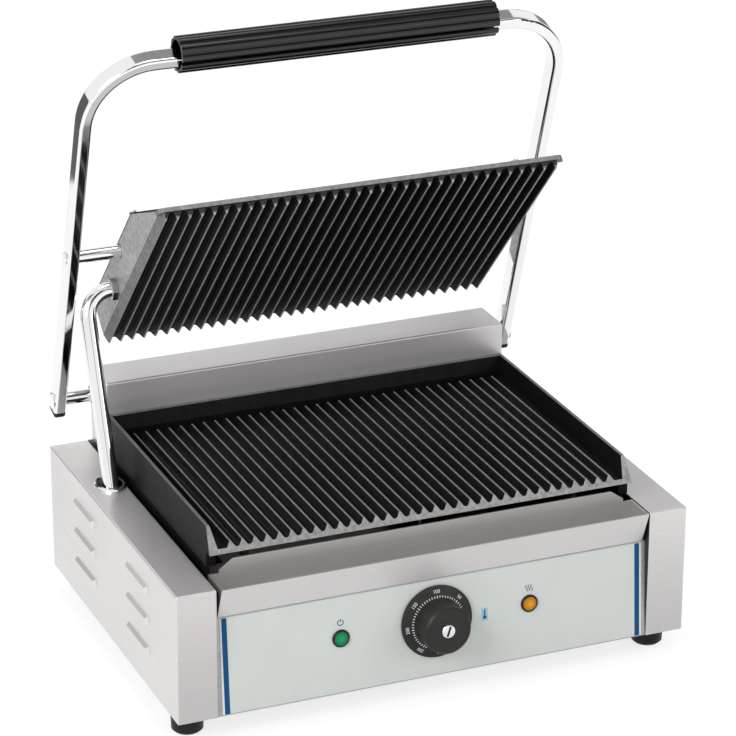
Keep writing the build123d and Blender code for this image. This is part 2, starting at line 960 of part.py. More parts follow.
clamp_top = lip_z - 2 * element_radius
clamp_half = lower_element_x + clamp_overlap
clamp_bolt_x = lower_element_x - clamp_bolt_inset
clamp = block(
    -clamp_half,
    clamp_half,
    clamp_y - clamp_width / 2,
    clamp_y + clamp_width / 2,
    clamp_top - clamp_thickness,
    clamp_top,
)
bolt_hole = clamp_bolt_radius + running_fit
for x in (-clamp_bolt_x, clamp_bolt_x):
    clamp -= rod_z(x, clamp_y, clamp_top - 2 * clamp_thickness, clamp_top + sheet, bolt_hole)
save("element_clamp", clamp)

bolt_under = clamp_top - clamp_thickness
clamp_bolt = rod_z(
    clamp_bolt_x,
    clamp_y,
    bolt_under - clamp_bolt_head_height,
    bolt_under,
    clamp_bolt_head_radius,
)
clamp_bolt += rod_z(clamp_bolt_x, clamp_y, bolt_under, lip_z, clamp_bolt_radius)
save("clamp_bolts", both_sides(clamp_bolt))

terminal = block(
    terminal_x,
    terminal_x + terminal_width,
    terminal_y,
    terminal_y + terminal_depth,
    floor_top,
    floor_top + terminal_height,
)
way = terminal_width / terminal_ways
terminal_top = floor_top + terminal_height
for i in range(terminal_ways):
    terminal -= rod_z(
        terminal_x + (i + 0.5) * way,
        terminal_y + terminal_depth / 2,
        terminal_top - terminal_screw_depth,
        terminal_top,
        terminal_screw_radius,
    )
save("terminal_block", terminal)


# Handle frame: one rectangular tube bent twice, bored for the shaft and the tilt pins
def handle_frame():
    """Bent tube in its own plane, with the hinge at z = 0."""
    path = FilletPolyline(
        (left_arm_x, 0, -arm_tail),
        (left_arm_x, 0, handle_length),
        (right_arm_x, 0, handle_length),
        (right_arm_x, 0, -arm_tail),
        radius=handle_bend,
    )
    bore_width = bar_width - 2 * bar_wall
    bore_depth = bar_depth - 2 * bar_wall
    section = RectangleRounded(bar_width, bar_depth, bar_corner)
    section -= Rectangle(bore_width, bore_depth)
    frame = sweep(Plane(path @ 0, x_dir=(1, 0, 0), z_dir=path % 0) * section, path)
    for z, radius in ((0, hinge_shaft_radius), (pin_on_arm, pin_radius)):
        frame -= rod_x(left_arm_x - bar_width, left_arm_x + bar_width, 0, z, radius + press_clearance)
        frame -= rod_x(right_arm_x - bar_width, right_arm_x + bar_width, 0, z, radius + press_clearance)
    return frame


def arm_plug(x):
    """Plug that closes the lower end of an arm."""
    width = bar_width - 2 * bar_wall - 2 * plug_gap
    depth = bar_depth - 2 * bar_wall - 2 * plug_gap
    room = arm_tail - hinge_shaft_radius - plug_gap
    head = extrude(RectangleRounded(bar_width, bar_depth, bar_corner), plug_cap)
    head = fillet(head.edges().group_by(Axis.Z)[0], plug_bevel)
    core = extrude(Rectangle(width, depth), min(plug_length, room))
    return Pos(x, 0, -arm_tail - plug_cap) * (head + Pos(0, 0, plug_cap) * core)


def bolt_heads(z, radius):
    """Low round head on the outer face of each arm."""
    head = turned(
        [
            (0, 0),
            (radius, 0),
            (radius, bolt_head_height * 0.5),
            (radius - bolt_head_height * 0.5, bolt_head_height),
            (0, bolt_head_height),
        ]
    )
    left = Pos(left_arm_outer, 0, z) * Rot(0, -90, 0) * head
    right = Pos(right_arm_outer, 0, z) * Rot(0, 90, 0) * head
    return left + right


save("handle_frame", handle_place * handle_frame())
save("arm_plug_left", handle_place * arm_plug(left_arm_x))
save("arm_plug_right", handle_place * arm_plug(right_arm_x))
save("hinge_shaft", rod_x(left_arm_outer, right_arm_outer, hinge_y, hinge_z, hinge_shaft_radius))
save("shaft_bolts", handle_place * bolt_heads(0, shaft_bolt_radius))
save("pin_bolts", handle_place * bolt_heads(pin_on_arm, pin_bolt_radius))


# Grip: a sleeve with round ridges, split along its length and clipped over the bar
def handle_grip():
    """Ridged split sleeve round the top bar, along X, with one ridge on top."""
    section = Circle(grip_radius - grip_lobe_radius / 2)
    for i in range(grip_lobe_count):
        angle = 90 + 360 * i / grip_lobe_count
        section += Rot(0, 0, angle) * Pos(grip_radius - grip_lobe_radius, 0) * Circle(grip_lobe_radius)
    section -= Pos(0, -grip_rise) * Rectangle(bar_depth + 2 * grip_fit, bar_width + 2 * grip_fit)
    slit = Pos(grip_radius, 0) * Rectangle(2 * grip_radius, grip_slit)
    section -= Rot(0, 0, grip_slit_angle) * slit
    middle = (left_arm_x + right_arm_x) / 2 + grip_shift
    start = middle - grip_length / 2
    end = middle + grip_length / 2
    sleeve = extrude(Plane.YZ.offset(start) * section, grip_length)
    sleeve -= rod_x(start, start + grip_mouth_depth, 0, 0, grip_mouth_radius)
    sleeve -= rod_x(end - grip_mouth_depth, end, 0, 0, grip_mouth_radius)
    return sleeve


save("handle_grip", handle_place * Pos(0, 0, handle_length + grip_rise) * handle_grip())

pin_inner = upper_half - upper_wall - pin_pad_length
save("tilt_pin_left", rod_x(left_arm_outer, -pin_inner, pin_y, pin_z, pin_radius))
save("tilt_pin_right", rod_x(pin_inner, right_arm_outer, pin_y, pin_z, pin_radius))


# Lid plate: rear edge on y = 0, rib tips on z = 0, back of the casting up
def front_lip():
    """Bar along the front of the lid plate, with rounded ends."""
    width = upper_width + 2 * upper_lip_reach
    lip = block(
        -width / 2,
        width / 2,
        -upper_depth,
        -upper_depth + upper_lip_setback,
        upper_nose_rise,
        upper_lip_rise,
    )
    corners = lip.edges().filter_by(Axis.Z).group_by(Axis.Y)[0]
    return fillet(corners, upper_lip_round)


def upper_plate():
    """Cast tub with ribs below, a lip and a sloping wall in front, and pads for the tilt pins."""
    nose = -upper_depth + upper_lip_depth
    slope_foot = -upper_depth + upper_lip_setback
    slope = upper_slope_run / (upper_height - upper_lip_rise)
    plate = prism_x(
        [
            (0, 0),
            (nose + upper_nose_run, 0),
            (nose, upper_nose_rise),
            (nose, upper_lip_rise),
            (slope_foot, upper_lip_rise),
            (slope_foot + upper_slope_run, upper_height),
            (0, upper_height),
        ],
        -upper_half,
        upper_half,
    )
    inner_foot = slope_foot + upper_slope_wall
    inner_half_width = upper_half - upper_wall
    cavity = prism_x(
        [
            (-upper_wall, upper_floor_z),
            (inner_foot + slope * (upper_floor_z - upper_lip_rise), upper_floor_z),
            (inner_foot + upper_slope_run, upper_height),
            (-upper_wall, upper_height),
        ],
        -inner_half_width,
        inner_half_width,
    )
    pad = block(
        pin_inner,
        inner_half_width,
        -pin_from_rear - pin_pad_width / 2,
        -pin_from_rear + pin_pad_width / 2,
        upper_floor_z,
        upper_height,
    )
    plate = plate - cavity + both_sides(pad)
    row = grooves(
        upper_rib_count,
        upper_rib_height,
        upper_rib_tip,
        upper_groove_bottom,
        upper_groove_round,
        -upper_depth,
        -upper_lip_depth,
    )
    plate -= Rot(180, 0, 0) * Pos(0, upper_depth, 0) * row
    last_tip = (upper_rib_count - 1) * rib_pitch / 2 + upper_rib_tip / 2
    draft = prism_y(
        [
            (last_tip, 0),
            (upper_half, 0),
            (upper_half, upper_edge_draft),
        ],
        -upper_depth,
        0,
    )
    plate -= both_sides(draft)
    plate += front_lip()
    bush_hole = pin_bush_radius + press_clearance
    plate -= rod_x(-upper_width, upper_width, -pin_from_rear, pin_from_ribs, bush_hole)
    plate -= rod_x(
        -upper_width,
        -upper_half + upper_wall,
        -conduit_from_rear,
        conduit_from_ribs,
        conduit_radius + press_clearance,
    )
    return plate


save("upper_plate", lid_place * upper_plate())


def tilt_bush():
    """Plain bush in the right wall and pad of the lid plate."""
    bush = rod_x(pin_inner, upper_half, -pin_from_rear, pin_from_ribs, pin_bush_radius)
    return bush - rod_x(0, upper_width, -pin_from_rear, pin_from_ribs, pin_radius + running_fit)


right_tilt_bush = tilt_bush()
save("tilt_bush_right", lid_place * right_tilt_bush)
save("tilt_bush_left", lid_place * mirror(right_tilt_bush, Plane.YZ))


# Cover, insulation and heating element behind the lid plate
cover_front = -upper_depth + upper_lip_setback + upper_slope_run
cover_length = -cover_front
emboss_width = upper_width - 2 * cover_emboss_inset
emboss_length = cover_length - 2 * cover_emboss_inset
cover = block(-upper_half, upper_half, cover_front, 0, upper_height, upper_height + sheet)
emboss_plane = Plane((0, cover_front / 2, upper_height + sheet))
emboss = extrude(
    emboss_plane * RectangleRounded(emboss_width, emboss_length, cover_emboss_round),
    cover_emboss_rise,
    taper=louvre_taper,
)
hollow_plane = Plane((0, cover_front / 2, upper_height))
hollow = extrude(
    hollow_plane * RectangleRounded(emboss_width - sheet, emboss_length - sheet, cover_emboss_round),
    cover_emboss_rise,
    taper=louvre_taper,
)
cover = cover + emboss - hollow
screw_x = upper_half - cover_screw_inset
screw_places = [
    (side * screw_x, y)
    for side in (-1, 1)
    for y in (-cover_screw_inset, cover_front + cover_screw_inset)
]
cover_screws = Part()
for x, y in screw_places:
    cover -= rod_z(x, y, upper_height - sheet, upper_height + 2 * sheet, screw_radius + running_fit)
    head = rod_z(x, y, upper_height + sheet, upper_height + sheet + screw_head_height, screw_head_radius)
    cover_screws += head + rod_z(x, y, upper_height, upper_height + sheet, screw_radius)
save("upper_cover", lid_place * cover)
save("cover_screws", lid_place * cover_screws)

insulation = block(
    -pin_inner + insulation_pad_gap,
    pin_inner - insulation_pad_gap,
    cover_front + upper_slope_wall + insulation_gap,
    -element_rear_inset - element_tail,
    upper_floor_z + 2 * element_radius,
    upper_height,
)
save("upper_insulation", lid_place * insulation)

upper_element = heating_element(
    pin_inner - element_pad_gap,
    -upper_depth + upper_element_inset,
    -element_rear_inset,
    upper_floor_z + element_radius,
    upper_floor_z + element_radius + element_tail,
)
save("upper_element", lid_place * upper_element)


# Conduit tube: into the lid plate's left wall, round one elbow and down through the ferrule
def conduit_tube():
    """Chrome tube that guides the wires of the lid's heating element."""
    reach_y = conduit_y - conduit_reach * math.sin(math.radians(conduit_lean))
    reach_z = conduit_z - conduit_reach * math.cos(math.radians(conduit_lean))
    path = FilletPolyline(
        (-upper_half + upper_wall, conduit_y, conduit_z),
        (conduit_x, conduit_y, conduit_z),
        (conduit_x, reach_y, reach_z),
        radius=conduit_bend,
    )
    section = Circle(conduit_radius) - Circle(conduit_radius - conduit_wall)
    return sweep(Plane(path @ 0, z_dir=path % 0) * section, path)


save("conduit_tube", conduit_tube())

nut_plane = Plane((-upper_half, conduit_y, conduit_z), x_dir=(0, 1, 0), z_dir=(-1, 0, 0))
nut = extrude(nut_plane * RegularPolygon(conduit_nut_radius, 6), conduit_nut_length)
nut -= rod_x(-upper_width, 0, conduit_y, conduit_z, conduit_radius + press_clearance)
save("conduit_nut", nut)
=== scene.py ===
# %% [markdown]
# # A contact grill with its lid open
# The solids come from the CAD frame, in metres, and each of them rides on its own body already.
# This lesson dresses them: it sets up a studio, gives each solid a finish, and adds the small pieces that
# are print or trim rather than construction.

# %% Load the frame
import math

import bmesh
import bpy
from mathutils import Matrix, Vector


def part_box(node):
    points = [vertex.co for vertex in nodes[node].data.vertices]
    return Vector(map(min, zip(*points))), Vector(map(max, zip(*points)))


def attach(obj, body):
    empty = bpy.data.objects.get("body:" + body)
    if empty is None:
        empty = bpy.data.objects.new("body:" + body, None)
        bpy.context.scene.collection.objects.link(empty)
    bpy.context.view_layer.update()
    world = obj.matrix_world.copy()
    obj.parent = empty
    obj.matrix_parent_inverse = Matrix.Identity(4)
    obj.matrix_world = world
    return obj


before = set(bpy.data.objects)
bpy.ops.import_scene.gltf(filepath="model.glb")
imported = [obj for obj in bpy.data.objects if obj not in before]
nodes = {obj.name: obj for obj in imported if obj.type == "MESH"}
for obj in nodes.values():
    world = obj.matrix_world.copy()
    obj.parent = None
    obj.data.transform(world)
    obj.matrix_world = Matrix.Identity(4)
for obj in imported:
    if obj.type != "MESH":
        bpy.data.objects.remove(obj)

scene = bpy.context.scene
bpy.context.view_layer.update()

# %% [markdown]
# ## Camera
# The photograph is a long-lens product shot from the front left, a little above the object.
# A long lens keeps upright edges nearly parallel, so the distance and the focal length are both large.
# The camera's axes are written as a matrix, because that states the view without any tracking constraint.

# %% Camera
IMAGE_WIDTH = 736
FOCAL_PIXELS = 3364.0
SENSOR_WIDTH = 36.0
CAMERA_PLACE = Vector((-0.9586, -2.2920, 1.2395))
CAMERA_AZIMUTH = math.radians(-22.79)
CAMERA_ELEVATION = math.radians(22.27)
CAMERA_ROLL = math.radians(0.17)
CAMERA_REACH = 50.0


def camera_axes(azimuth, elevation, roll):
    """Rotation whose columns are the camera's right, up and backward directions."""
    backward = Vector(
        (
            math.sin(azimuth) * math.cos(elevation),
            -math.cos(azimuth) * math.cos(elevation),
            math.sin(elevation),
        )
    )
    right = Vector((0, 0, 1)).cross(backward).normalized()
    up = backward.cross(right)
    rolled_right = math.cos(roll) * right + math.sin(roll) * up
    rolled_up = backward.cross(rolled_right)
    return Matrix((rolled_right, rolled_up, backward)).transposed()


camera_data = bpy.data.cameras.new("camera")
camera_data.sensor_width = SENSOR_WIDTH
camera_data.lens = FOCAL_PIXELS / IMAGE_WIDTH * SENSOR_WIDTH
camera_data.clip_end = CAMERA_REACH
camera = bpy.data.objects.new("camera", camera_data)
camera_turn = camera_axes(CAMERA_AZIMUTH, CAMERA_ELEVATION, CAMERA_ROLL)
camera.matrix_world = Matrix.Translation(CAMERA_PLACE) @ camera_turn.to_4x4()
scene.collection.objects.link(camera)
scene.camera = camera
print("camera lens", round(camera_data.lens, 1), "mm")

# %% [markdown]
# ## Node helpers
# A finish is a small graph: coordinates go into a noise, the noise into a ramp, the ramp into the shader.
# Short helpers write such graphs in a line or two each. They only join nodes, so what they build can be
# opened and read in the shader editor like any other graph. The last two helpers are for the solids: one
# finds a solid's middle, the other gives solids their material.

# %% Node helpers
SOFT_EDGE = 0.00012


def grey(level):
    """Colour without a hue."""
    return (level, level, level)


def dimmed(tone, share):
    """Darker version of a colour."""
    return [channel * share for channel in tone]


def finish(name):
    """New material, with its node tree and its Principled shader."""
    made = bpy.data.materials.new(name)
    made.use_nodes = True
    tree = made.node_tree
    return made, tree, tree.nodes["Principled BSDF"]


def add(tree, kind, links=(), **settings):
    """New node with settings given by attribute name, and (socket, source) links into it."""
    node = tree.nodes.new(kind)
    for name, value in settings.items():
        setattr(node, name, value)
    for socket, source in links:
        if hasattr(source, "is_output"):
            tree.links.new(source, node.inputs[socket])
        else:
            node.inputs[socket].default_value = source
    return node


def place(tree, scale=(1, 1, 1), turn=(0, 0, 0), move=(0, 0, 0)):
    """Object coordinates, scaled, turned and moved."""
    coords = add(tree, "ShaderNodeTexCoord").outputs["Object"]
    links = [("Vector", coords), ("Scale", scale), ("Rotation", turn), ("Location", move)]
    return add(tree, "ShaderNodeMapping", links).outputs["Vector"]


def axes(tree, vector):
    """The x, the y and the z of a vector."""
    split = add(tree, "ShaderNodeSeparateXYZ", [("Vector", vector)])
    return split.outputs["X"], split.outputs["Y"], split.outputs["Z"]


def noise(tree, vector, scale, detail=4.0, rough=0.6):
    """Value of a noise texture."""
    links = [("Vector", vector), ("Scale", scale), ("Detail", detail), ("Roughness", rough)]
    return add(tree, "ShaderNodeTexNoise", links).outputs["Fac"]


def spread(tree, value, low, high, start=0.3, end=0.7):
    """Number that goes from low to high while the value goes from start to end."""
    links = [("Value", value), ("From Min", start), ("From Max", end), ("To Min", low), ("To Max", high)]
    return add(tree, "ShaderNodeMapRange", links).outputs["Result"]


def tint(tree, value, dark, light, start=0.3, end=0.7):
    """Colour that goes from dark to light while the value goes from start to end."""
    ramp = add(tree, "ShaderNodeValToRGB", [("Fac", value)])
    ramp.color_ramp.elements[0].position = start
    ramp.color_ramp.elements[0].color = (*dark, 1)
    ramp.color_ramp.elements[1].position = end
    ramp.color_ramp.elements[1].color = (*light, 1)
    return ramp.outputs["Color"]


def blend_tone(tree, factor, tone, other):
    """Colour that goes from a tone to another, fixed one while the factor goes from 0 to 1."""
    mixed = add(tree, "ShaderNodeMix", [("Factor", factor)], data_type="RGBA")
    tree.links.new(tone, mixed.inputs["A"])
    mixed.inputs["B"].default_value = (*other, 1)
    return mixed.outputs["Result"]


def math_node(tree, operation, a, b=0.0, c=0.0):
    """Result of one operation on numbers."""
    links = [(0, a), (1, b), (2, c)]
    return add(tree, "ShaderNodeMath", links, operation=operation).outputs["Value"]


def product(tree, first, *others):
    """Numbers multiplied together."""
    result = first
    for other in others:
        result = math_node(tree, "MULTIPLY", result, other)
    return result


def within(tree, value, low, high, soft=SOFT_EDGE):
    """1 where the value lies between low and high, with soft ends."""
    above = spread(tree, value, 0.0, 1.0, low - soft, low + soft)
    below = spread(tree, value, 1.0, 0.0, high - soft, high + soft)
    return product(tree, above, below)


def relief(tree, shader, height, strength, depth):
    """Bump from a height value, straight into the shader."""
    links = [("Height", height), ("Strength", strength), ("Distance", depth)]
    bump = add(tree, "ShaderNodeBump", links)
    tree.links.new(bump.outputs["Normal"], shader.inputs["Normal"])


# %% Helpers for the solids
def middle(node):
    """Centre of a solid's box."""
    low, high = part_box(node)
    return [(a + b) / 2 for a, b in zip(low, high)]


def wear(material, *names):
    """Give the solids with these names one material."""
    for name in names:
        mesh = nodes[name].data
        mesh.materials.clear()
        mesh.materials.append(material)
    print(material.name, "on", len(names), "solids")


# %% [markdown]
# ## Studio
# The photograph has a white ground. A floor lit until it looked white would also flood the object, so the
# floor gives most of its white only to the eye and to reflections, and keeps a thin matt layer that takes
# the object's shadow. Under the base, where no light comes, the white ends, or it would shine up through
# the vents. The world does as the floor does, so the lamps decide how bright the object is.

# %% World
WHITE = (1, 1, 1, 1)
AMBIENT = 0.55
scene.view_settings.view_transform = "Standard"


def seen_directly(tree):
    """1 for camera, reflected and refracted rays, 0 for light that falls on the object."""
    path = add(tree, "ShaderNodeLightPath")
    eye = math_node(tree, "MAXIMUM", path.outputs["Is Camera Ray"], path.outputs["Is Glossy Ray"])
    return math_node(tree, "MAXIMUM", eye, path.outputs["Is Transmission Ray"])


world = bpy.data.worlds.new("studio")
scene.world = world
world.use_nodes = True
sky = world.node_tree
background = sky.nodes["Background"]
background.inputs["Color"].default_value = WHITE
sky_strength = spread(sky, seen_directly(sky), AMBIENT, 1.0, 0.0, 1.0)
sky.links.new(sky_strength, background.inputs["Strength"])
print("world ready")

# %% Floor
FLOOR_SIZE = 16.0
FLOOR_DROP = 0.0003
FLOOR_MATT = 0.75
FLOOR_THIN = 0.3
FLOOR_GLOW = 0.78
UNDER_HALF_X = 0.15
UNDER_HALF_Y = 0.09
UNDER_FADE = 0.03


def floor_finish(name):
    """White to the eye and to reflections, except under the base, and matt to all other light."""
    made, tree, shader = finish(name)
    tree.nodes.remove(shader)
    matt = add(tree, "ShaderNodeBsdfDiffuse", [("Color", (*grey(FLOOR_MATT), 1))])
    thin = add(tree, "ShaderNodeBsdfDiffuse", [("Color", (*grey(FLOOR_THIN), 1))])
    x, y, _ = axes(tree, place(tree))
    under = product(
        tree,
        within(tree, x, -UNDER_HALF_X, UNDER_HALF_X, UNDER_FADE),
        within(tree, y, -UNDER_HALF_Y, UNDER_HALF_Y, UNDER_FADE),
    )
    strength = spread(tree, under, FLOOR_GLOW, 0.0, 0.0, 1.0)
    glow = add(tree, "ShaderNodeEmission", [("Color", WHITE), ("Strength", strength)])
    white = add(tree, "ShaderNodeAddShader", [(0, thin.outputs[0]), (1, glow.outputs[0])])
    links = [("Fac", seen_directly(tree)), (1, matt.outputs[0]), (2, white.outputs[0])]
    mix = add(tree, "ShaderNodeMixShader", links)
    tree.links.new(mix.outputs[0], tree.nodes["Material Output"].inputs["Surface"])
    return made


def flat_sheet(name, width, depth, matrix):
    """Flat rectangle of the studio."""
    mesh = bpy.data.meshes.new(name)
    shape = bmesh.new()
    bmesh.ops.create_grid(shape, x_segments=1, y_segments=1, size=0.5)
    bmesh.ops.scale(shape, vec=(width, depth, 1), verts=shape.verts)
    bmesh.ops.transform(shape, matrix=matrix, verts=shape.verts)
    shape.to_mesh(mesh)
    shape.free()
    sheet = bpy.data.objects.new(name, mesh)
    scene.collection.objects.link(sheet)
    return sheet


floor = flat_sheet("floor", FLOOR_SIZE, FLOOR_SIZE, Matrix.Translation((0, 0, -FLOOR_DROP)))
floor.data.materials.append(floor_finish("floor_white"))
print("floor ready")

# %% [markdown]
# ## Lamps and flags
# Three large soft lamps light the grill: the key from the front left, a weaker fill from the right, and one
# overhead. Bright metal only looks like metal where it mirrors something dark, so grey cards stand at the
# sides, over the object and on the floor, and one bright strip lies far in front. They are hidden from the
# camera and cast no shadow: only reflections meet them.

# %% Lamps
def aim(origin, target):
    """Matrix that puts -Z on the line from the origin to the target."""
    direction = Vector(target) - Vector(origin)
    return Matrix.Translation(origin) @ direction.to_track_quat("-Z", "Y").to_matrix().to_4x4()


def soft_lamp(name, origin, target, size, watts):
    """Square area lamp."""
    data = bpy.data.lights.new(name, "AREA")
    data.size = size
    data.energy = watts
    lamp = bpy.data.objects.new(name, data)
    lamp.matrix_world = aim(origin, target)
    scene.collection.objects.link(lamp)


soft_lamp("key", origin=(-2.2, -1.25, 1.75), target=(0, 0, 0.15), size=1.3, watts=41.0)
soft_lamp("fill", origin=(2.0, -1.6, 1.2), target=(0, 0, 0.15), size=1.4, watts=12.0)
soft_lamp("overhead", origin=(0.2, 0.5, 2.4), target=(0, 0, 0.2), size=1.2, watts=14.0)
print("3 lamps")


# %% Flags
def card_tone(name, level):
    """Plain grey that a card shows to reflections."""
    made, _, shader = finish(name)
    shader.inputs["Base Color"].default_value = (0, 0, 0, 1)
    shader.inputs["Specular IOR Level"].default_value = 0.0
    shader.inputs["Emission Color"].default_value = WHITE
    shader.inputs["Emission Strength"].default_value = level
    return made


def flag(name, origin, target, size, level):
    """Card that faces its target and that only reflections see."""
    card = flat_sheet(name, *size, aim(origin, target))
    card.data.materials.append(card_tone(name, level))
    card.visible_camera = False
    card.visible_diffuse = False
    card.visible_shadow = False
    card.visible_transmission = False


flag("flag_left", origin=(-0.86, 0.74, 0.30), target=(-0.2, 0.05, 0.25), size=(1.0, 0.56), level=0.12)
flag("flag_camera", origin=(-0.60, -2.2, 0.9), target=(-0.19, 0.08, 0.28), size=(0.35, 1.0), level=0.40)
flag("flag_right", origin=(1.85, -0.55, 0.70), target=(-0.1, 0.05, 0.25), size=(2.2, 1.4), level=0.05)
flag("flag_back", origin=(1.05, 1.4, 0.70), target=(0.2, 0, 0.13), size=(0.6, 1.0), level=0.25)
flag("flag_over", origin=(0.43, 0.50, 1.45), target=(0, 0.05, 0.45), size=(1.6, 0.7), level=0.30)
flag("flag_high", origin=(0.40, -1.05, 1.45), target=(0, 0.05, 0.45), size=(2.4, 0.8), level=0.08)
# The card on the floor shows reflections a grey darker than the floor's white: painted shade of the floor
# in front of the base, mirrored by the lower front faces.
flag("floor_shade_flag", origin=(0.0, -0.25, 0.001), target=(0.0, -0.25, 0.5), size=(0.62, 0.18), level=0.64)
flag("strip_floor", origin=(0.6, -1.65, 0.01), target=(0.6, -1.65, 0.5), size=(2.4, 0.3), level=4.0)
print("7 flags and a bright strip")

# %% [markdown]
# ## Brushed steel
# The boxes, the housing and the drip tray are brushed stainless sheet. Brushing leaves fine scratches along
# the sheet, so the noise is stretched: slow along the scratches and very fast across them. Upright faces
# are brushed level and flat faces from side to side, and the face's normal chooses between the two. The
# same helper makes the dull zinc and the heat-dulled steel inside, with darker tones and a rougher face.
# The boxes' inner walls get a dark tone as painted shade, and the tray's apron gets a pale tone as painted
# light where it looks down. On the base plate, the darker tone of the heat-dulled steel is painted shade
# for the closed space inside the base.

# %% Brushed steel helper
ALONG_BRUSH = 5
ACROSS_BRUSH = 420
FLAT_NORMAL = 0.7
MARK_SHARE = 0.7
CLOUD_SHARE = 0.3
STEEL_START = 0.35
STEEL_END = 0.65
INNER_SHADE_TONE = (0.05, 0.05, 0.048)
INNER_MARGIN = 0.0004
APRON_LIGHT_TONE = (0.79, 0.77, 0.765)
APRON_METALLIC = 0.3
APRON_FULL = -0.12
APRON_NONE = -0.04


def brushed_steel(name, tones, rough, metallic=0.9, inner_half=0.0, apron_painted_light=False):
    """Sheet metal with level brush marks and a slow cloudiness.

    Walls at inner_half and nearer get a dark tone, which is painted shade. When asked for, the sheet turns
    duller and paler where it looks down, and the paler tone is painted light.
    """
    made, tree, shader = finish(name)
    level_marks = place(tree, (ALONG_BRUSH, ALONG_BRUSH, ACROSS_BRUSH))
    side_marks = place(tree, (ALONG_BRUSH, ACROSS_BRUSH, ALONG_BRUSH))
    on_upright = noise(tree, level_marks, scale=1.0, detail=6.0, rough=0.7)
    on_flat = noise(tree, side_marks, scale=1.0, detail=6.0, rough=0.7)
    normal_z = axes(tree, add(tree, "ShaderNodeNewGeometry").outputs["Normal"])[2]
    flatness = math_node(tree, "GREATER_THAN", math_node(tree, "ABSOLUTE", normal_z), FLAT_NORMAL)
    links = [("Factor", flatness), ("A", on_upright), ("B", on_flat)]
    marks = add(tree, "ShaderNodeMix", links).outputs["Result"]
    cloud = noise(tree, place(tree), scale=9.0, detail=3.0, rough=0.5)
    both = math_node(tree, "ADD", product(tree, marks, MARK_SHARE), product(tree, cloud, CLOUD_SHARE))
    tone = tint(tree, both, *tones, STEEL_START, STEEL_END)
    # The inner walls, at inner_half and nearer, get a dark tone: painted shade in the gaps beside the tray
    # and the panel.
    if inner_half:
        across = math_node(tree, "ABSOLUTE", axes(tree, place(tree))[0])
        inner = math_node(tree, "LESS_THAN", across, inner_half + INNER_MARGIN)
        tone = blend_tone(tree, inner, tone, INNER_SHADE_TONE)
    shader.inputs["Metallic"].default_value = metallic
    # Where the sheet looks down it turns duller and paler: the paler tone is painted light on the tray's
    # front apron.
    if apron_painted_light:
        downward = spread(tree, normal_z, 1.0, 0.0, APRON_FULL, APRON_NONE)
        tone = blend_tone(tree, downward, tone, APRON_LIGHT_TONE)
        metal_share = spread(tree, normal_z, APRON_METALLIC, metallic, APRON_FULL, APRON_NONE)
        tree.links.new(metal_share, shader.inputs["Metallic"])
    tree.links.new(tone, shader.inputs["Base Color"])
    gloss_lost = spread(tree, both, rough[1], rough[0], STEEL_START, STEEL_END)
    tree.links.new(gloss_lost, shader.inputs["Roughness"])
    relief(tree, shader, marks, strength=0.05, depth=0.0003)
    return made


# %% Brushed steel
BOX_TONES = (0.690, 0.672, 0.668), (0.735, 0.717, 0.713)
BOX_ROUGH = (0.38, 0.46)
BOX_METALLIC = 0.8
INNER_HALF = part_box("right_side_box")[0][0]
box_steel = brushed_steel("box_steel", BOX_TONES, BOX_ROUGH, BOX_METALLIC, inner_half=INNER_HALF)
wear(box_steel, "left_side_box", "right_side_box")
housing_steel = brushed_steel("housing_steel", BOX_TONES, BOX_ROUGH, BOX_METALLIC)
wear(housing_steel, "hinge_housing", "rear_panel")

TRAY_TONES = (0.63, 0.61, 0.60), (0.69, 0.67, 0.66)
tray_steel = brushed_steel("tray_steel", TRAY_TONES, rough=(0.36, 0.46), metallic=0.92, apron_painted_light=True)
wear(tray_steel, "drip_tray")

ZINC_TONES = (0.42, 0.43, 0.44), (0.56, 0.57, 0.58)
zinc_steel = brushed_steel("zinc_steel", ZINC_TONES, rough=(0.45, 0.6))
wear(zinc_steel, "heat_shield", "element_clamp", "clamp_bolts", "front_panel")

# The elements are dulled by heat. The base plate wears the same dark tone as painted shade for the closed
# space inside the base.
DULLED_AND_SHADED_TONES = (0.24, 0.22, 0.21), (0.36, 0.34, 0.33)
dulled_and_shaded = brushed_steel("dulled_and_shaded_steel", DULLED_AND_SHADED_TONES, rough=(0.4, 0.55))
wear(
    dulled_and_shaded,
    "lower_element",
    "upper_element",
    "thermostat_bulb",
    "thermostat_shaft",
    "base_plate",
)

# %% [markdown]
# ## Chrome
# The handle, the conduit and the pins are chrome plated. Plating is a near mirror with faint wipe marks, so
# the roughness is low and a slow noise lifts it a little in patches. A very weak bump breaks long straight
# reflections as the slight waves of a bent bar do. Screws are zinc plated: greyer and rougher. The conduit
# nut is plated too, and its dark grey tone is a painted reflection of the dark lid beside it.

# %% Chrome
WIPE_STRETCH = (40, 40, 14)
WIPE_SHARE = 0.94


def chrome(name, tone, rough):
    """Bright plating with faint wipe marks."""
    made, tree, shader = finish(name)
    wipe = noise(tree, place(tree, WIPE_STRETCH), scale=1.0)
    waves = noise(tree, place(tree), scale=30.0, detail=2.0, rough=0.5)
    shader.inputs["Metallic"].default_value = 1.0
    tree.links.new(tint(tree, wipe, dimmed(tone, WIPE_SHARE), tone), shader.inputs["Base Color"])
    tree.links.new(spread(tree, wipe, *rough), shader.inputs["Roughness"])
    relief(tree, shader, waves, strength=0.03, depth=0.001)
    return made


bar_chrome = chrome("bar_chrome", (0.88, 0.88, 0.89), rough=(0.03, 0.08))
wear(
    bar_chrome,
    "handle_frame",
    "conduit_tube",
    "shaft_bolts",
    "pin_bolts",
    "tilt_pin_left",
    "tilt_pin_right",
    "hinge_shaft",
    "conduit_ferrule",
)
screw_zinc = chrome("screw_zinc", grey(0.70), rough=(0.2, 0.32))
wear(screw_zinc, "foot_screws", "housing_screws", "cover_screws")
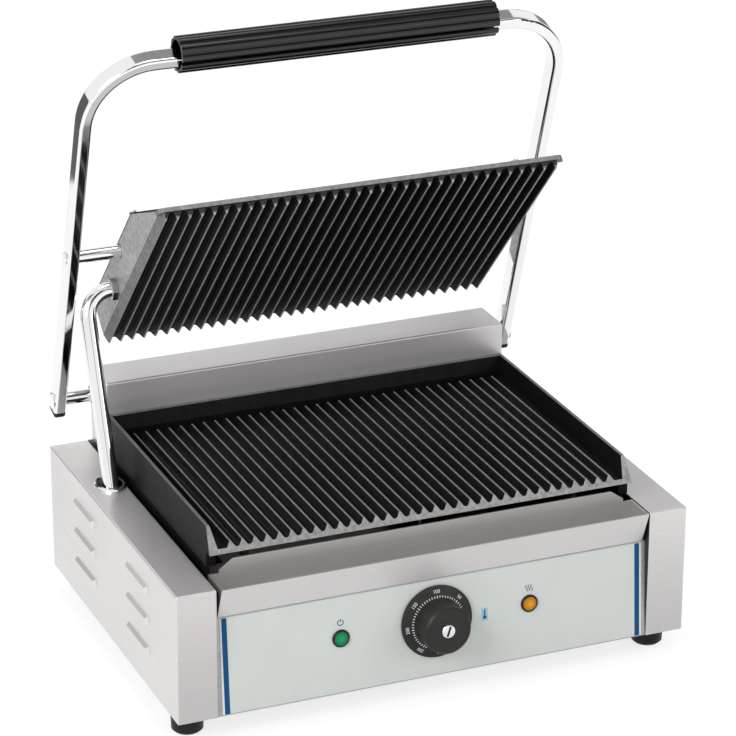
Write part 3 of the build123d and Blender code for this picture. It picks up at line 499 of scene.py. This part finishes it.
# The conduit nut's dark grey tone is a painted reflection of the dark lid beside it.
nut_dark_reflection = chrome("nut_dark_reflection", grey(0.34), rough=(0.16, 0.28))
wear(nut_dark_reflection, "conduit_nut")
disc_bright = chrome("disc_bright", grey(0.88), rough=(0.16, 0.24))
wear(disc_bright, "knob_disc")

# %% [markdown]
# ## Cast iron
# Both plates are black cast iron. Casting leaves a fine grain, so two noises of different size give the
# bump and move the colour and the gloss a little. The rib crests and the rims turn to a paler metal in
# patches, and so do the lid's side walls and lip; the lower plate's front is ground. The bright tips of the
# lid's rib ends are a painted highlight, and the strip at the lid's edge is kept darker than its wall as
# painted shade. Those places are found from the piece's own coordinates, as heights and distances on the
# real plate.

# %% Cast iron helper
IRON_TONES = grey(0.003), grey(0.008)
IRON_GLOSS = 0.11
IRON_ROUGH = (0.36, 0.52)
SCAB_SHARE = 0.6
PATCHY_LEAST = 0.55
PALE_METALLIC = 0.75
BEYOND = 0.001
FACE_DEPTH = 0.0003
FAR = 1.0


def cast_iron(name, pale_metal_tone, masks):
    """Black casting whose masked places turn to a paler metal, unevenly.

    The masks function gets the tree and returns pairs: a mask, and the share of paler metal there.
    """
    made, tree, shader = finish(name)
    grain = noise(tree, place(tree), scale=900.0, detail=3.0)
    scab = noise(tree, place(tree), scale=120.0)
    skin = tint(tree, scab, *IRON_TONES)
    patchy = spread(tree, noise(tree, place(tree), scale=260.0, detail=3.0), PATCHY_LEAST, 1.0)
    pale_metal = 0.0
    for mask, share in masks(tree):
        pale_metal = math_node(tree, "MAXIMUM", product(tree, mask, share, patchy), pale_metal)
    tree.links.new(blend_tone(tree, pale_metal, skin, pale_metal_tone), shader.inputs["Base Color"])
    tree.links.new(product(tree, pale_metal, PALE_METALLIC), shader.inputs["Metallic"])
    tree.links.new(spread(tree, grain, *IRON_ROUGH), shader.inputs["Roughness"])
    shader.inputs["Specular IOR Level"].default_value = IRON_GLOSS
    height = math_node(tree, "ADD", grain, product(tree, scab, SCAB_SHARE))
    relief(tree, shader, height, strength=0.25, depth=0.0004)
    return made


# %% Lower plate
LOWER_TIP = 0.1522
LOWER_LIP = 0.1444
LOWER_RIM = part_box("lower_plate")[1][2]
LOWER_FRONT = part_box("lower_plate")[0][1]
LOWER_RIBS_HALF = 0.162
LOWER_RIBS_REAR = 0.100
LOWER_CREST_DEPTH = 0.0004
LOWER_RIM_DEPTH = 0.0002
FRONT_RUN = 0.0124
FRONT_SLOPE = FRONT_RUN / (LOWER_RIM - LOWER_LIP)


def lower_masks(tree):
    """Rib crests, rim edges and the ground front of the lower plate."""
    x, y, z = axes(tree, place(tree))
    across = math_node(tree, "ABSOLUTE", x)
    crest = product(
        tree,
        within(tree, z, LOWER_TIP - LOWER_CREST_DEPTH, LOWER_TIP + LOWER_CREST_DEPTH),
        within(tree, across, -FAR, LOWER_RIBS_HALF),
        within(tree, y, -FAR, LOWER_RIBS_REAR),
    )
    rim = within(tree, z, LOWER_RIM - LOWER_RIM_DEPTH, LOWER_RIM + BEYOND)
    front_y = math_node(tree, "MULTIPLY_ADD", z, FRONT_SLOPE, LOWER_FRONT - FRONT_SLOPE * LOWER_LIP)
    front = within(tree, math_node(tree, "SUBTRACT", y, front_y), -BEYOND, FACE_DEPTH)
    return [(crest, 0.6), (rim, 0.4), (front, 0.8)]


lower_iron = cast_iron("lower_iron", (0.56, 0.555, 0.55), lower_masks)
wear(lower_iron, "lower_plate")

# %% [markdown]
# The lid plate leans, so its masks first turn the coordinates into the plate's own directions: x across, y
# from the rear edge, negative towards the nose, and z from the rib tips into the plate.

# %% Upper plate
PIN_PLACE = Vector((0.0, *middle("tilt_pin_left")[1:]))
PLATE_ANGLE = math.radians(46.5)
PIN_FROM_REAR = 0.0979
PIN_FROM_RIBS = 0.0348
UPPER_HALF = 0.168
UPPER_CREST_DEPTH = 0.0005
WALL_LOW = 0.0083
WALL_HIGH = 0.05
EDGE_WIDTH = 0.0024
EDGE_LOW = 0.0004
EDGE_HIGH = 0.0079
LIP_FRONT = -0.221
LIP_REAR = -0.2197
LIP_END = UPPER_HALF + 0.0005
NOSE_FOOT = -0.213
NOSE_SLOPE = -4.4 / 4.5
NOSE_BRIGHT = 0.0004
NOSE_DULL = 0.0024
NOSE_DULL_SHARE = 0.08
to_plate = Matrix.Rotation(PLATE_ANGLE, 4, "X")
plate_move = -(to_plate @ PIN_PLACE) - Vector((0, PIN_FROM_REAR, -PIN_FROM_RIBS))


def upper_masks(tree):
    """Rib crests, side walls, edges, lip and nose of the lid plate; the nose is brightest at the rib tips,
    a painted highlight.
    """
    x, y, z = axes(tree, place(tree, turn=(PLATE_ANGLE, 0, 0), move=plate_move))
    across = math_node(tree, "ABSOLUTE", x)
    crest = within(tree, z, -BEYOND, UPPER_CREST_DEPTH)
    wall = product(
        tree,
        within(tree, across, UPPER_HALF - FACE_DEPTH, UPPER_HALF + BEYOND),
        within(tree, z, WALL_LOW, WALL_HIGH),
    )
    edge = product(
        # The edge strip gets less pale metal than the wall: the darker strip is painted shade on a face
        # that turns downwards.
        tree,
        within(tree, across, UPPER_HALF - EDGE_WIDTH, UPPER_HALF + BEYOND),
        within(tree, z, EDGE_LOW, EDGE_HIGH),
    )
    lip = within(tree, y, LIP_FRONT, LIP_REAR)
    lip_end = within(tree, across, LIP_END, FAR)
    # The rib ends are paler the nearer they are to the tips: a painted highlight.
    nose_z = math_node(tree, "MULTIPLY_ADD", y, NOSE_SLOPE, -NOSE_FOOT * NOSE_SLOPE)
    nose = product(
        tree,
        within(tree, math_node(tree, "SUBTRACT", z, nose_z), -BEYOND, FACE_DEPTH),
        spread(tree, z, 1.0, NOSE_DULL_SHARE, NOSE_BRIGHT, NOSE_DULL),
    )
    return [(crest, 0.75), (wall, 0.9), (edge, 0.42), (lip, 0.62), (lip_end, 0.5), (nose, 1.0)]


upper_iron = cast_iron("upper_iron", grey(0.56), upper_masks)
wear(upper_iron, "upper_plate")

# %% [markdown]
# ## Plastics, rubber and the rest
# Moulded plastic has a faint even grain and a soft gloss, rubber is duller and rougher, and both are almost
# black here. One helper makes them, the enamel and the mineral wool: the size and depth of the grain tell
# them apart. The bushes are bearing bronze, a metal, so the plating helper makes those; their near-black
# tone is painted shade for the holes they sit in.

# %% Plastics and rubber
def moulded(name, tones, rough, grain_scale, depth, gloss=0.5):
    """Moulded surface with a fine grain."""
    made, tree, shader = finish(name)
    grain = noise(tree, place(tree), grain_scale, detail=3.0)
    cloud = noise(tree, place(tree), scale=35.0, detail=3.0, rough=0.5)
    tree.links.new(tint(tree, cloud, *tones), shader.inputs["Base Color"])
    tree.links.new(spread(tree, grain, *rough), shader.inputs["Roughness"])
    shader.inputs["Specular IOR Level"].default_value = gloss
    relief(tree, shader, grain, strength=0.2, depth=depth)
    return made


GRIP_TONES = grey(0.002), grey(0.005)
grip_black = moulded("grip_black", GRIP_TONES, (0.15, 0.22), grain_scale=700.0, depth=0.0001, gloss=0.52)
wear(grip_black, "handle_grip")

KNOB_TONES = (0.016, 0.015, 0.014), (0.026, 0.025, 0.023)
knob_grey = moulded("knob_grey", KNOB_TONES, (0.36, 0.48), grain_scale=900.0, depth=0.0002, gloss=0.3)
wear(knob_grey, "temperature_knob")

BLACK_TONES = grey(0.006), grey(0.012)
satin_black = moulded("satin_black", BLACK_TONES, (0.35, 0.5), grain_scale=800.0, depth=0.0002, gloss=0.3)
wear(
    satin_black,
    "arm_plug_left",
    "arm_plug_right",
    "power_lamp_bezel",
    "heat_lamp_bezel",
    "cord_gland",
    "thermostat_body",
    "terminal_block",
)

FOOT_TONES = grey(0.005), grey(0.011)
foot_rubber = moulded("foot_rubber", FOOT_TONES, (0.4, 0.55), grain_scale=500.0, depth=0.0004, gloss=0.25)
wear(foot_rubber, "front_left_foot", "front_right_foot", "rear_left_foot", "rear_right_foot")

cover_enamel = moulded(
    "cover_enamel",
    BLACK_TONES,
    (0.34, 0.46),
    grain_scale=600.0,
    depth=0.0003,
    gloss=0.2,
)
wear(cover_enamel, "upper_cover", "plate_support_left", "plate_support_right")

# The bushes' near-black tone is painted shade for the holes they sit in.
bush_bronze_shade = chrome("bush_bronze_shade", (0.028, 0.025, 0.020), rough=(0.35, 0.5))
wear(bush_bronze_shade, "hinge_bush_left", "hinge_bush_right", "tilt_bush_left", "tilt_bush_right")

WOOL_TONES = (0.60, 0.57, 0.50), (0.74, 0.71, 0.64)
wool = moulded("mineral_wool", WOOL_TONES, (0.85, 1.0), grain_scale=300.0, depth=0.002)
wear(wool, "upper_insulation")

# %% [markdown]
# ## Panel film and lamp lenses
# The control film is pale, greenish and slightly pebbled. The lenses are coloured acrylic: the light inside
# gathers at the middle, so each is paler there and deeper at its rim.

# %% Panel film and lenses
FILM_TONES = (0.65, 0.687, 0.657), (0.677, 0.715, 0.685)
panel_film = moulded("panel_film", FILM_TONES, (0.34, 0.46), grain_scale=1200.0, depth=0.0001)
wear(panel_film, "control_overlay")

LENS_PALE_TO = 0.0015
LENS_DEEP_FROM = 0.0055
LENS_GLOSS = 0.2
LENS_ROUGH = (0.12, 0.25)
FACET_SCALE = 700.0
FACET_EDGE = 0.6


def lens_finish(name, node, pale, deep):
    """Coloured acrylic, paler near the middle of its solid."""
    made, tree, shader = finish(name)
    offset = place(tree, move=-Vector(middle(node)))
    distance = add(tree, "ShaderNodeVectorMath", [(0, offset)], operation="LENGTH").outputs["Value"]
    tone = tint(tree, distance, pale, deep, LENS_PALE_TO, LENS_DEEP_FROM)
    tree.links.new(tone, shader.inputs["Base Color"])
    links = [("Vector", place(tree)), ("Scale", FACET_SCALE)]
    facets = add(tree, "ShaderNodeTexVoronoi", links).outputs["Distance"]
    tree.links.new(spread(tree, facets, *LENS_ROUGH, 0.0, FACET_EDGE), shader.inputs["Roughness"])
    relief(tree, shader, facets, strength=0.15, depth=0.0003)
    shader.inputs["Specular IOR Level"].default_value = LENS_GLOSS
    return made


green_acrylic = lens_finish("green_acrylic", "power_lamp_lens", (0.012, 0.42, 0.15), (0.002, 0.12, 0.04))
wear(green_acrylic, "power_lamp_lens")
amber_acrylic = lens_finish("amber_acrylic", "heat_lamp_lens", (0.95, 0.42, 0.02), (0.34, 0.10, 0.003))
wear(amber_acrylic, "heat_lamp_lens")

# %% [markdown]
# ## Print on the panel
# The film carries printed stripes at its ends and small signs by the lamps and the knob. Print has no real
# thickness, but a mesh needs a little, so each mark is a sheet a tenth of a millimetre thick, lying on the
# film. Marks are drawn flat, in millimetres on the panel, and one matrix carries them to the panel's lean.

# %% Print helpers
MM = 0.001
PANEL_LEAN = math.radians(4.24)
PANEL_INSET = 1.0
FILM_FACE = -0.4
PRINT_THICKNESS = 0.1
PRINT_MERGE = 0.0005
INK_ROUGH = (0.45, 0.55)
INK_SHARE = 0.9
INK_GLOSS = 0.2
DOT_HOLE = 0.05
box_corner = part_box("left_side_box")[0]
lean = Matrix.Rotation(-PANEL_LEAN, 4, "X")
upright = Matrix.Rotation(math.pi / 2, 4, "X")
PANEL_PLACE = Matrix.Translation((0, box_corner[1] + PANEL_INSET * MM, box_corner[2])) @ lean
FILM_PLACE = PANEL_PLACE @ Matrix.Translation((0, FILM_FACE * MM, 0)) @ upright @ Matrix.Scale(MM, 4)


def ink(name, tone):
    """Printed colour with a slightly uneven lay."""
    made, tree, shader = finish(name)
    lay = noise(tree, place(tree), scale=1500.0, detail=2.0)
    tree.links.new(tint(tree, lay, dimmed(tone, INK_SHARE), tone), shader.inputs["Base Color"])
    tree.links.new(spread(tree, lay, *INK_ROUGH), shader.inputs["Roughness"])
    shader.inputs["Specular IOR Level"].default_value = INK_GLOSS
    return made


def printed(name, shape, matrix, material, body):
    """Give a flat bmesh its print thickness and its place, and make it a piece on a body."""
    bmesh.ops.remove_doubles(shape, verts=shape.verts, dist=PRINT_MERGE)
    bmesh.ops.recalc_face_normals(shape, faces=shape.faces)
    grown = bmesh.ops.extrude_face_region(shape, geom=shape.faces[:])
    raised = [item for item in grown["geom"] if isinstance(item, bmesh.types.BMVert)]
    bmesh.ops.translate(shape, vec=(0, 0, PRINT_THICKNESS), verts=raised)
    bmesh.ops.recalc_face_normals(shape, faces=shape.faces)
    bmesh.ops.transform(shape, matrix=matrix, verts=shape.verts)
    mesh = bpy.data.meshes.new(name)
    shape.to_mesh(mesh)
    shape.free()
    mesh.materials.append(material)
    piece = bpy.data.objects.new(name, mesh)
    scene.collection.objects.link(piece)
    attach(piece, body)


def bar(shape, x0, x1, y0, y1):
    """Flat rectangle in a bmesh."""
    made = bmesh.ops.create_grid(shape, x_segments=1, y_segments=1, size=0.5)["verts"]
    bmesh.ops.scale(shape, vec=(x1 - x0, y1 - y0, 1), verts=made)
    bmesh.ops.translate(shape, vec=((x0 + x1) / 2, (y0 + y1) / 2, 0), verts=made)


def arc(shape, centre, inner, outer, start, sweep, steps):
    """Flat ring, or part of one, spun from a short edge."""
    angle = math.radians(start)
    spoke = []
    for radius in (inner, outer):
        x = centre[0] + radius * math.cos(angle)
        y = centre[1] + radius * math.sin(angle)
        spoke.append(shape.verts.new((x, y, 0)))
    edge = shape.edges.new(spoke)
    bmesh.ops.spin(
        shape,
        geom=[*spoke, edge],
        cent=(*centre, 0),
        axis=(0, 0, 1),
        angle=math.radians(sweep),
        steps=steps,
        use_merge=sweep == 360,
        use_duplicate=False,
    )


def dot(shape, centre, radius, steps):
    """Flat disc, as a ring with a tiny hole."""
    arc(shape, centre, DOT_HOLE, radius, start=0, sweep=360, steps=steps)


ink_blue = ink("ink_blue", (0.001, 0.083, 0.230))
ink_sky = ink("ink_sky", (0.40, 0.60, 0.74))
ink_white = ink("ink_white", (0.86, 0.87, 0.86))
print("three inks")

# %% Stripes
STRIPE_X = 174.7
STRIPE_WIDTH = 4.2
STRIPE_GAP = 0.2
FILM_EDGE = 178.4
FILM_LOW = 1.1
FILM_HIGH = 80.1
stripe_near = STRIPE_X - STRIPE_WIDTH / 2
stripe_far = STRIPE_X + STRIPE_WIDTH / 2


def end_bar(name, side, near, far, material):
    """Bar of print as high as the film, at its left end for side -1 and its right end for side 1."""
    shape = bmesh.new()
    low, high = sorted((side * near, side * far))
    bar(shape, low, high, FILM_LOW, FILM_HIGH)
    printed(name, shape, FILM_PLACE, material, "base")


for side, word in ((-1, "left"), (1, "right")):
    end_bar(f"stripe_{word}", side, stripe_near, stripe_far, ink_blue)
    end_bar(f"border_{word}", side, stripe_far + STRIPE_GAP, FILM_EDGE, ink_white)
print("stripes on both ends of the film")

# %% Signs by the lamps
CONTROL_HEIGHT = 46.2
SIGN_X = 80.0
SIGN_Y = CONTROL_HEIGHT + 13.0
POWER_RING = (2.0, 2.7)
POWER_OPENING = 60
POWER_STEM_HALF = 0.35
POWER_STEM_LOW = 0.4
POWER_STEM_HIGH = 3.1
power_sign = bmesh.new()
arc(power_sign, (-SIGN_X, SIGN_Y), *POWER_RING, 90 + POWER_OPENING / 2, 360 - POWER_OPENING, steps=20)
bar(
    power_sign,
    -SIGN_X - POWER_STEM_HALF,
    -SIGN_X + POWER_STEM_HALF,
    SIGN_Y + POWER_STEM_LOW,
    SIGN_Y + POWER_STEM_HIGH,
)
printed("power_sign", power_sign, FILM_PLACE, ink_blue, "base")

WAVE_STEP = 2.2
WAVE_RING = (1.1, 1.7)
WAVE_HALF = 65
BEND_X = 0.6
BEND_Y = 1.3
heat_sign = bmesh.new()
for wave_x in (SIGN_X - WAVE_STEP, SIGN_X, SIGN_X + WAVE_STEP):
    upper_bend = (wave_x + BEND_X, SIGN_Y + BEND_Y)
    lower_bend = (wave_x - BEND_X, SIGN_Y - BEND_Y)
    arc(heat_sign, upper_bend, *WAVE_RING, start=180 - WAVE_HALF, sweep=2 * WAVE_HALF, steps=8)
    arc(heat_sign, lower_bend, *WAVE_RING, start=-WAVE_HALF, sweep=2 * WAVE_HALF, steps=8)
printed("heat_sign", heat_sign, FILM_PLACE, ink_blue, "base")
print("a sign by each lamp")

# %% Thermometer by the knob
SCALE_X = 41.5
SCALE_Y = 44.0
GROUND_HALF_X = 2.6
GROUND_HALF_Y = 5.2
BULB_DROP = 2.6
BULB_RADIUS = 1.4
TUBE_HALF = 0.5
TUBE_DROP = 2.0
TUBE_RISE = 4.0
sign_ground = bmesh.new()
bar(
    sign_ground,
    SCALE_X - GROUND_HALF_X,
    SCALE_X + GROUND_HALF_X,
    SCALE_Y - GROUND_HALF_Y,
    SCALE_Y + GROUND_HALF_Y,
)
printed("thermometer_ground", sign_ground, FILM_PLACE, ink_sky, "base")
on_ground = FILM_PLACE @ Matrix.Translation((0, 0, PRINT_THICKNESS))
thermometer = bmesh.new()
dot(thermometer, (SCALE_X, SCALE_Y - BULB_DROP), BULB_RADIUS, steps=20)
bar(thermometer, SCALE_X - TUBE_HALF, SCALE_X + TUBE_HALF, SCALE_Y - TUBE_DROP, SCALE_Y + TUBE_RISE)
printed("thermometer_sign", thermometer, on_ground, ink_blue, "base")
print("a thermometer by the knob")

# %% [markdown]
# ## Marks on the knob
# The dial's marks are moulded into the cone of the skirt and filled with white. Each mark is drawn flat and
# laid on the cone by a matrix: out along the radius, down by the cone's slope, then round to its angle. The
# slot in the bright disc is a black sheet laid the same way: painted shade standing in for the slot's
# depth.
# The dial turns, so all of them ride on the knob.

# %% Dial helpers
CONTROL_MIDDLE = Matrix.Translation((0, FILM_FACE * MM, CONTROL_HEIGHT * MM))
KNOB_PLACE = PANEL_PLACE @ CONTROL_MIDDLE @ upright @ Matrix.Scale(MM, 4)
SKIRT_OUTER = (29.8, 2.3)
SKIRT_INNER = (20.4, 5.3)
SKIRT_SLOPE = math.atan2(SKIRT_INNER[1] - SKIRT_OUTER[1], SKIRT_OUTER[0] - SKIRT_INNER[0])
MARK_SINK = 0.02
NUMERAL_SIZE = 4.0
NUMERAL_RADIUS = 25.6
NUMERAL_STEPS = 3


def on_skirt(degrees, radius):
    """Matrix that lays a flat mark on the skirt's cone, its top outwards."""
    height = SKIRT_OUTER[1] + (SKIRT_OUTER[0] - radius) * math.tan(SKIRT_SLOPE)
    round_knob = Matrix.Rotation(math.radians(degrees - 90), 4, "Z")
    out = Matrix.Translation((0, radius, height - MARK_SINK))
    down = Matrix.Rotation(-SKIRT_SLOPE, 4, "X")
    return KNOB_PLACE @ round_knob @ out @ down


def numeral(text, degrees):
    """One number of the dial."""
    curve = bpy.data.curves.new("numeral", "FONT")
    curve.body = text
    curve.size = NUMERAL_SIZE
    curve.align_x = "CENTER"
    curve.align_y = "CENTER"
    curve.resolution_u = NUMERAL_STEPS
    drawn = bpy.data.objects.new("numeral", curve)
    flat = bpy.data.meshes.new_from_object(drawn)
    shape = bmesh.new()
    shape.from_mesh(flat)
    bpy.data.objects.remove(drawn)
    bpy.data.meshes.remove(flat)
    printed(f"numeral_{text}", shape, on_skirt(degrees, NUMERAL_RADIUS), ink_white, "knob")


# %% Dial
DIAL_START = 44.0
DIAL_STEP = 47.5
TICK_COUNT = 37
TICKS_PER_STEP = 8
TICKS_BEFORE = 3
TICK_RADIUS = 21.6
TICK_HALF = 0.32
LONG_TICK = 1.1
SHORT_TICK = 0.8
for index, text in enumerate(("50", "100", "150", "200", "250")):
    numeral(text, DIAL_START + index * DIAL_STEP)
for index in range(TICK_COUNT):
    tick = bmesh.new()
    reach = LONG_TICK if index % TICKS_PER_STEP == TICKS_BEFORE else SHORT_TICK
    bar(tick, -TICK_HALF, TICK_HALF, -reach, reach)
    degrees = DIAL_START + (index - TICKS_BEFORE) * DIAL_STEP / TICKS_PER_STEP
    printed(f"tick_{index:02d}", tick, on_skirt(degrees, TICK_RADIUS), ink_white, "knob")

REST_ANGLE = 270
REST_PLACE = 26.0
REST_RADIUS = 0.9
rest_mark = bmesh.new()
dot(rest_mark, (0, 0), REST_RADIUS, steps=12)
printed("rest_mark", rest_mark, on_skirt(REST_ANGLE, REST_PLACE), ink_white, "knob")
print("dial with 5 numbers and", TICK_COUNT, "ticks")

# %% Disc slot
DISC_TOP = 25.3
SLOT_HALF_WIDTH = 0.9
SLOT_HALF_LENGTH = 4.2
SLOT_TURN = math.radians(-20)
# The slot is a black sheet on the disc: painted shade standing in for the slot's depth.
slot_shade = bmesh.new()
bar(slot_shade, -SLOT_HALF_WIDTH, SLOT_HALF_WIDTH, -SLOT_HALF_LENGTH, SLOT_HALF_LENGTH)
slot_place = KNOB_PLACE @ Matrix.Translation((0, 0, DISC_TOP)) @ Matrix.Rotation(SLOT_TURN, 4, "Z")
printed("disc_slot_shade", slot_shade, slot_place, satin_black, "knob")
print("slot on the disc")

# %% [markdown]
# ## Screw heads
# The screws are plain solids, so the shade in each cross recess is painted here as a black cross on the
# head. The places are measured from the solids: a screw node's corners, in the directions of the sheet that
# it holds, give the middles of its heads. Screws stop where they are tight, so each cross is turned by
# another angle.

# %% Screw recesses
HEAD_RADIUS = 3.2 * MM
CROSS_HALF = 1.7
ARM_HALF = 0.3
FIRST_TURN = 0.4
NEXT_TURN = 1.3


def head_middles(low, high):
    """Middles of the outermost heads between two limits, or of the only one."""
    if high - low < 3 * HEAD_RADIUS:
        return [(low + high) / 2]
    return [low + HEAD_RADIUS, high - HEAD_RADIUS]


def head_places(node, to_sheet):
    """Tops of the heads of a screw node, in the sheet's own directions."""
    points = [to_sheet @ vertex.co for vertex in nodes[node].data.vertices]
    low = [min(point[axis] for point in points) for axis in range(3)]
    high = [max(point[axis] for point in points) for axis in range(3)]
    across = head_middles(low[0], high[0])
    along = head_middles(low[1], high[1])
    return [Vector((x, y, high[2])) for x in across for y in along]


def recess_shades(name, node, to_sheet, body):
    """Black cross of painted shade on each head of a screw node, standing in for its recess."""
    places = head_places(node, to_sheet)
    for index, spot in enumerate(places):
        cross = bmesh.new()
        bar(cross, -CROSS_HALF, CROSS_HALF, -ARM_HALF, ARM_HALF)
        bar(cross, -ARM_HALF, ARM_HALF, ARM_HALF, CROSS_HALF)
        bar(cross, -ARM_HALF, ARM_HALF, -CROSS_HALF, -ARM_HALF)
        cross_turn = Matrix.Rotation(FIRST_TURN + NEXT_TURN * index, 4, "Z")
        matrix = to_sheet.inverted() @ Matrix.Translation(spot) @ cross_turn @ Matrix.Scale(MM, 4)
        printed(f"{name}_{index}", cross, matrix, satin_black, body)
    print(name, "on", len(places), "heads")


to_cover = Matrix.Translation(plate_move) @ to_plate
to_rear_panel = Matrix.Rotation(math.pi / 2, 4, "X")
recess_shades("cover_recess_shade", "cover_screws", to_cover, "lid")
recess_shades("housing_recess_shade", "housing_screws", to_rear_panel, "base")
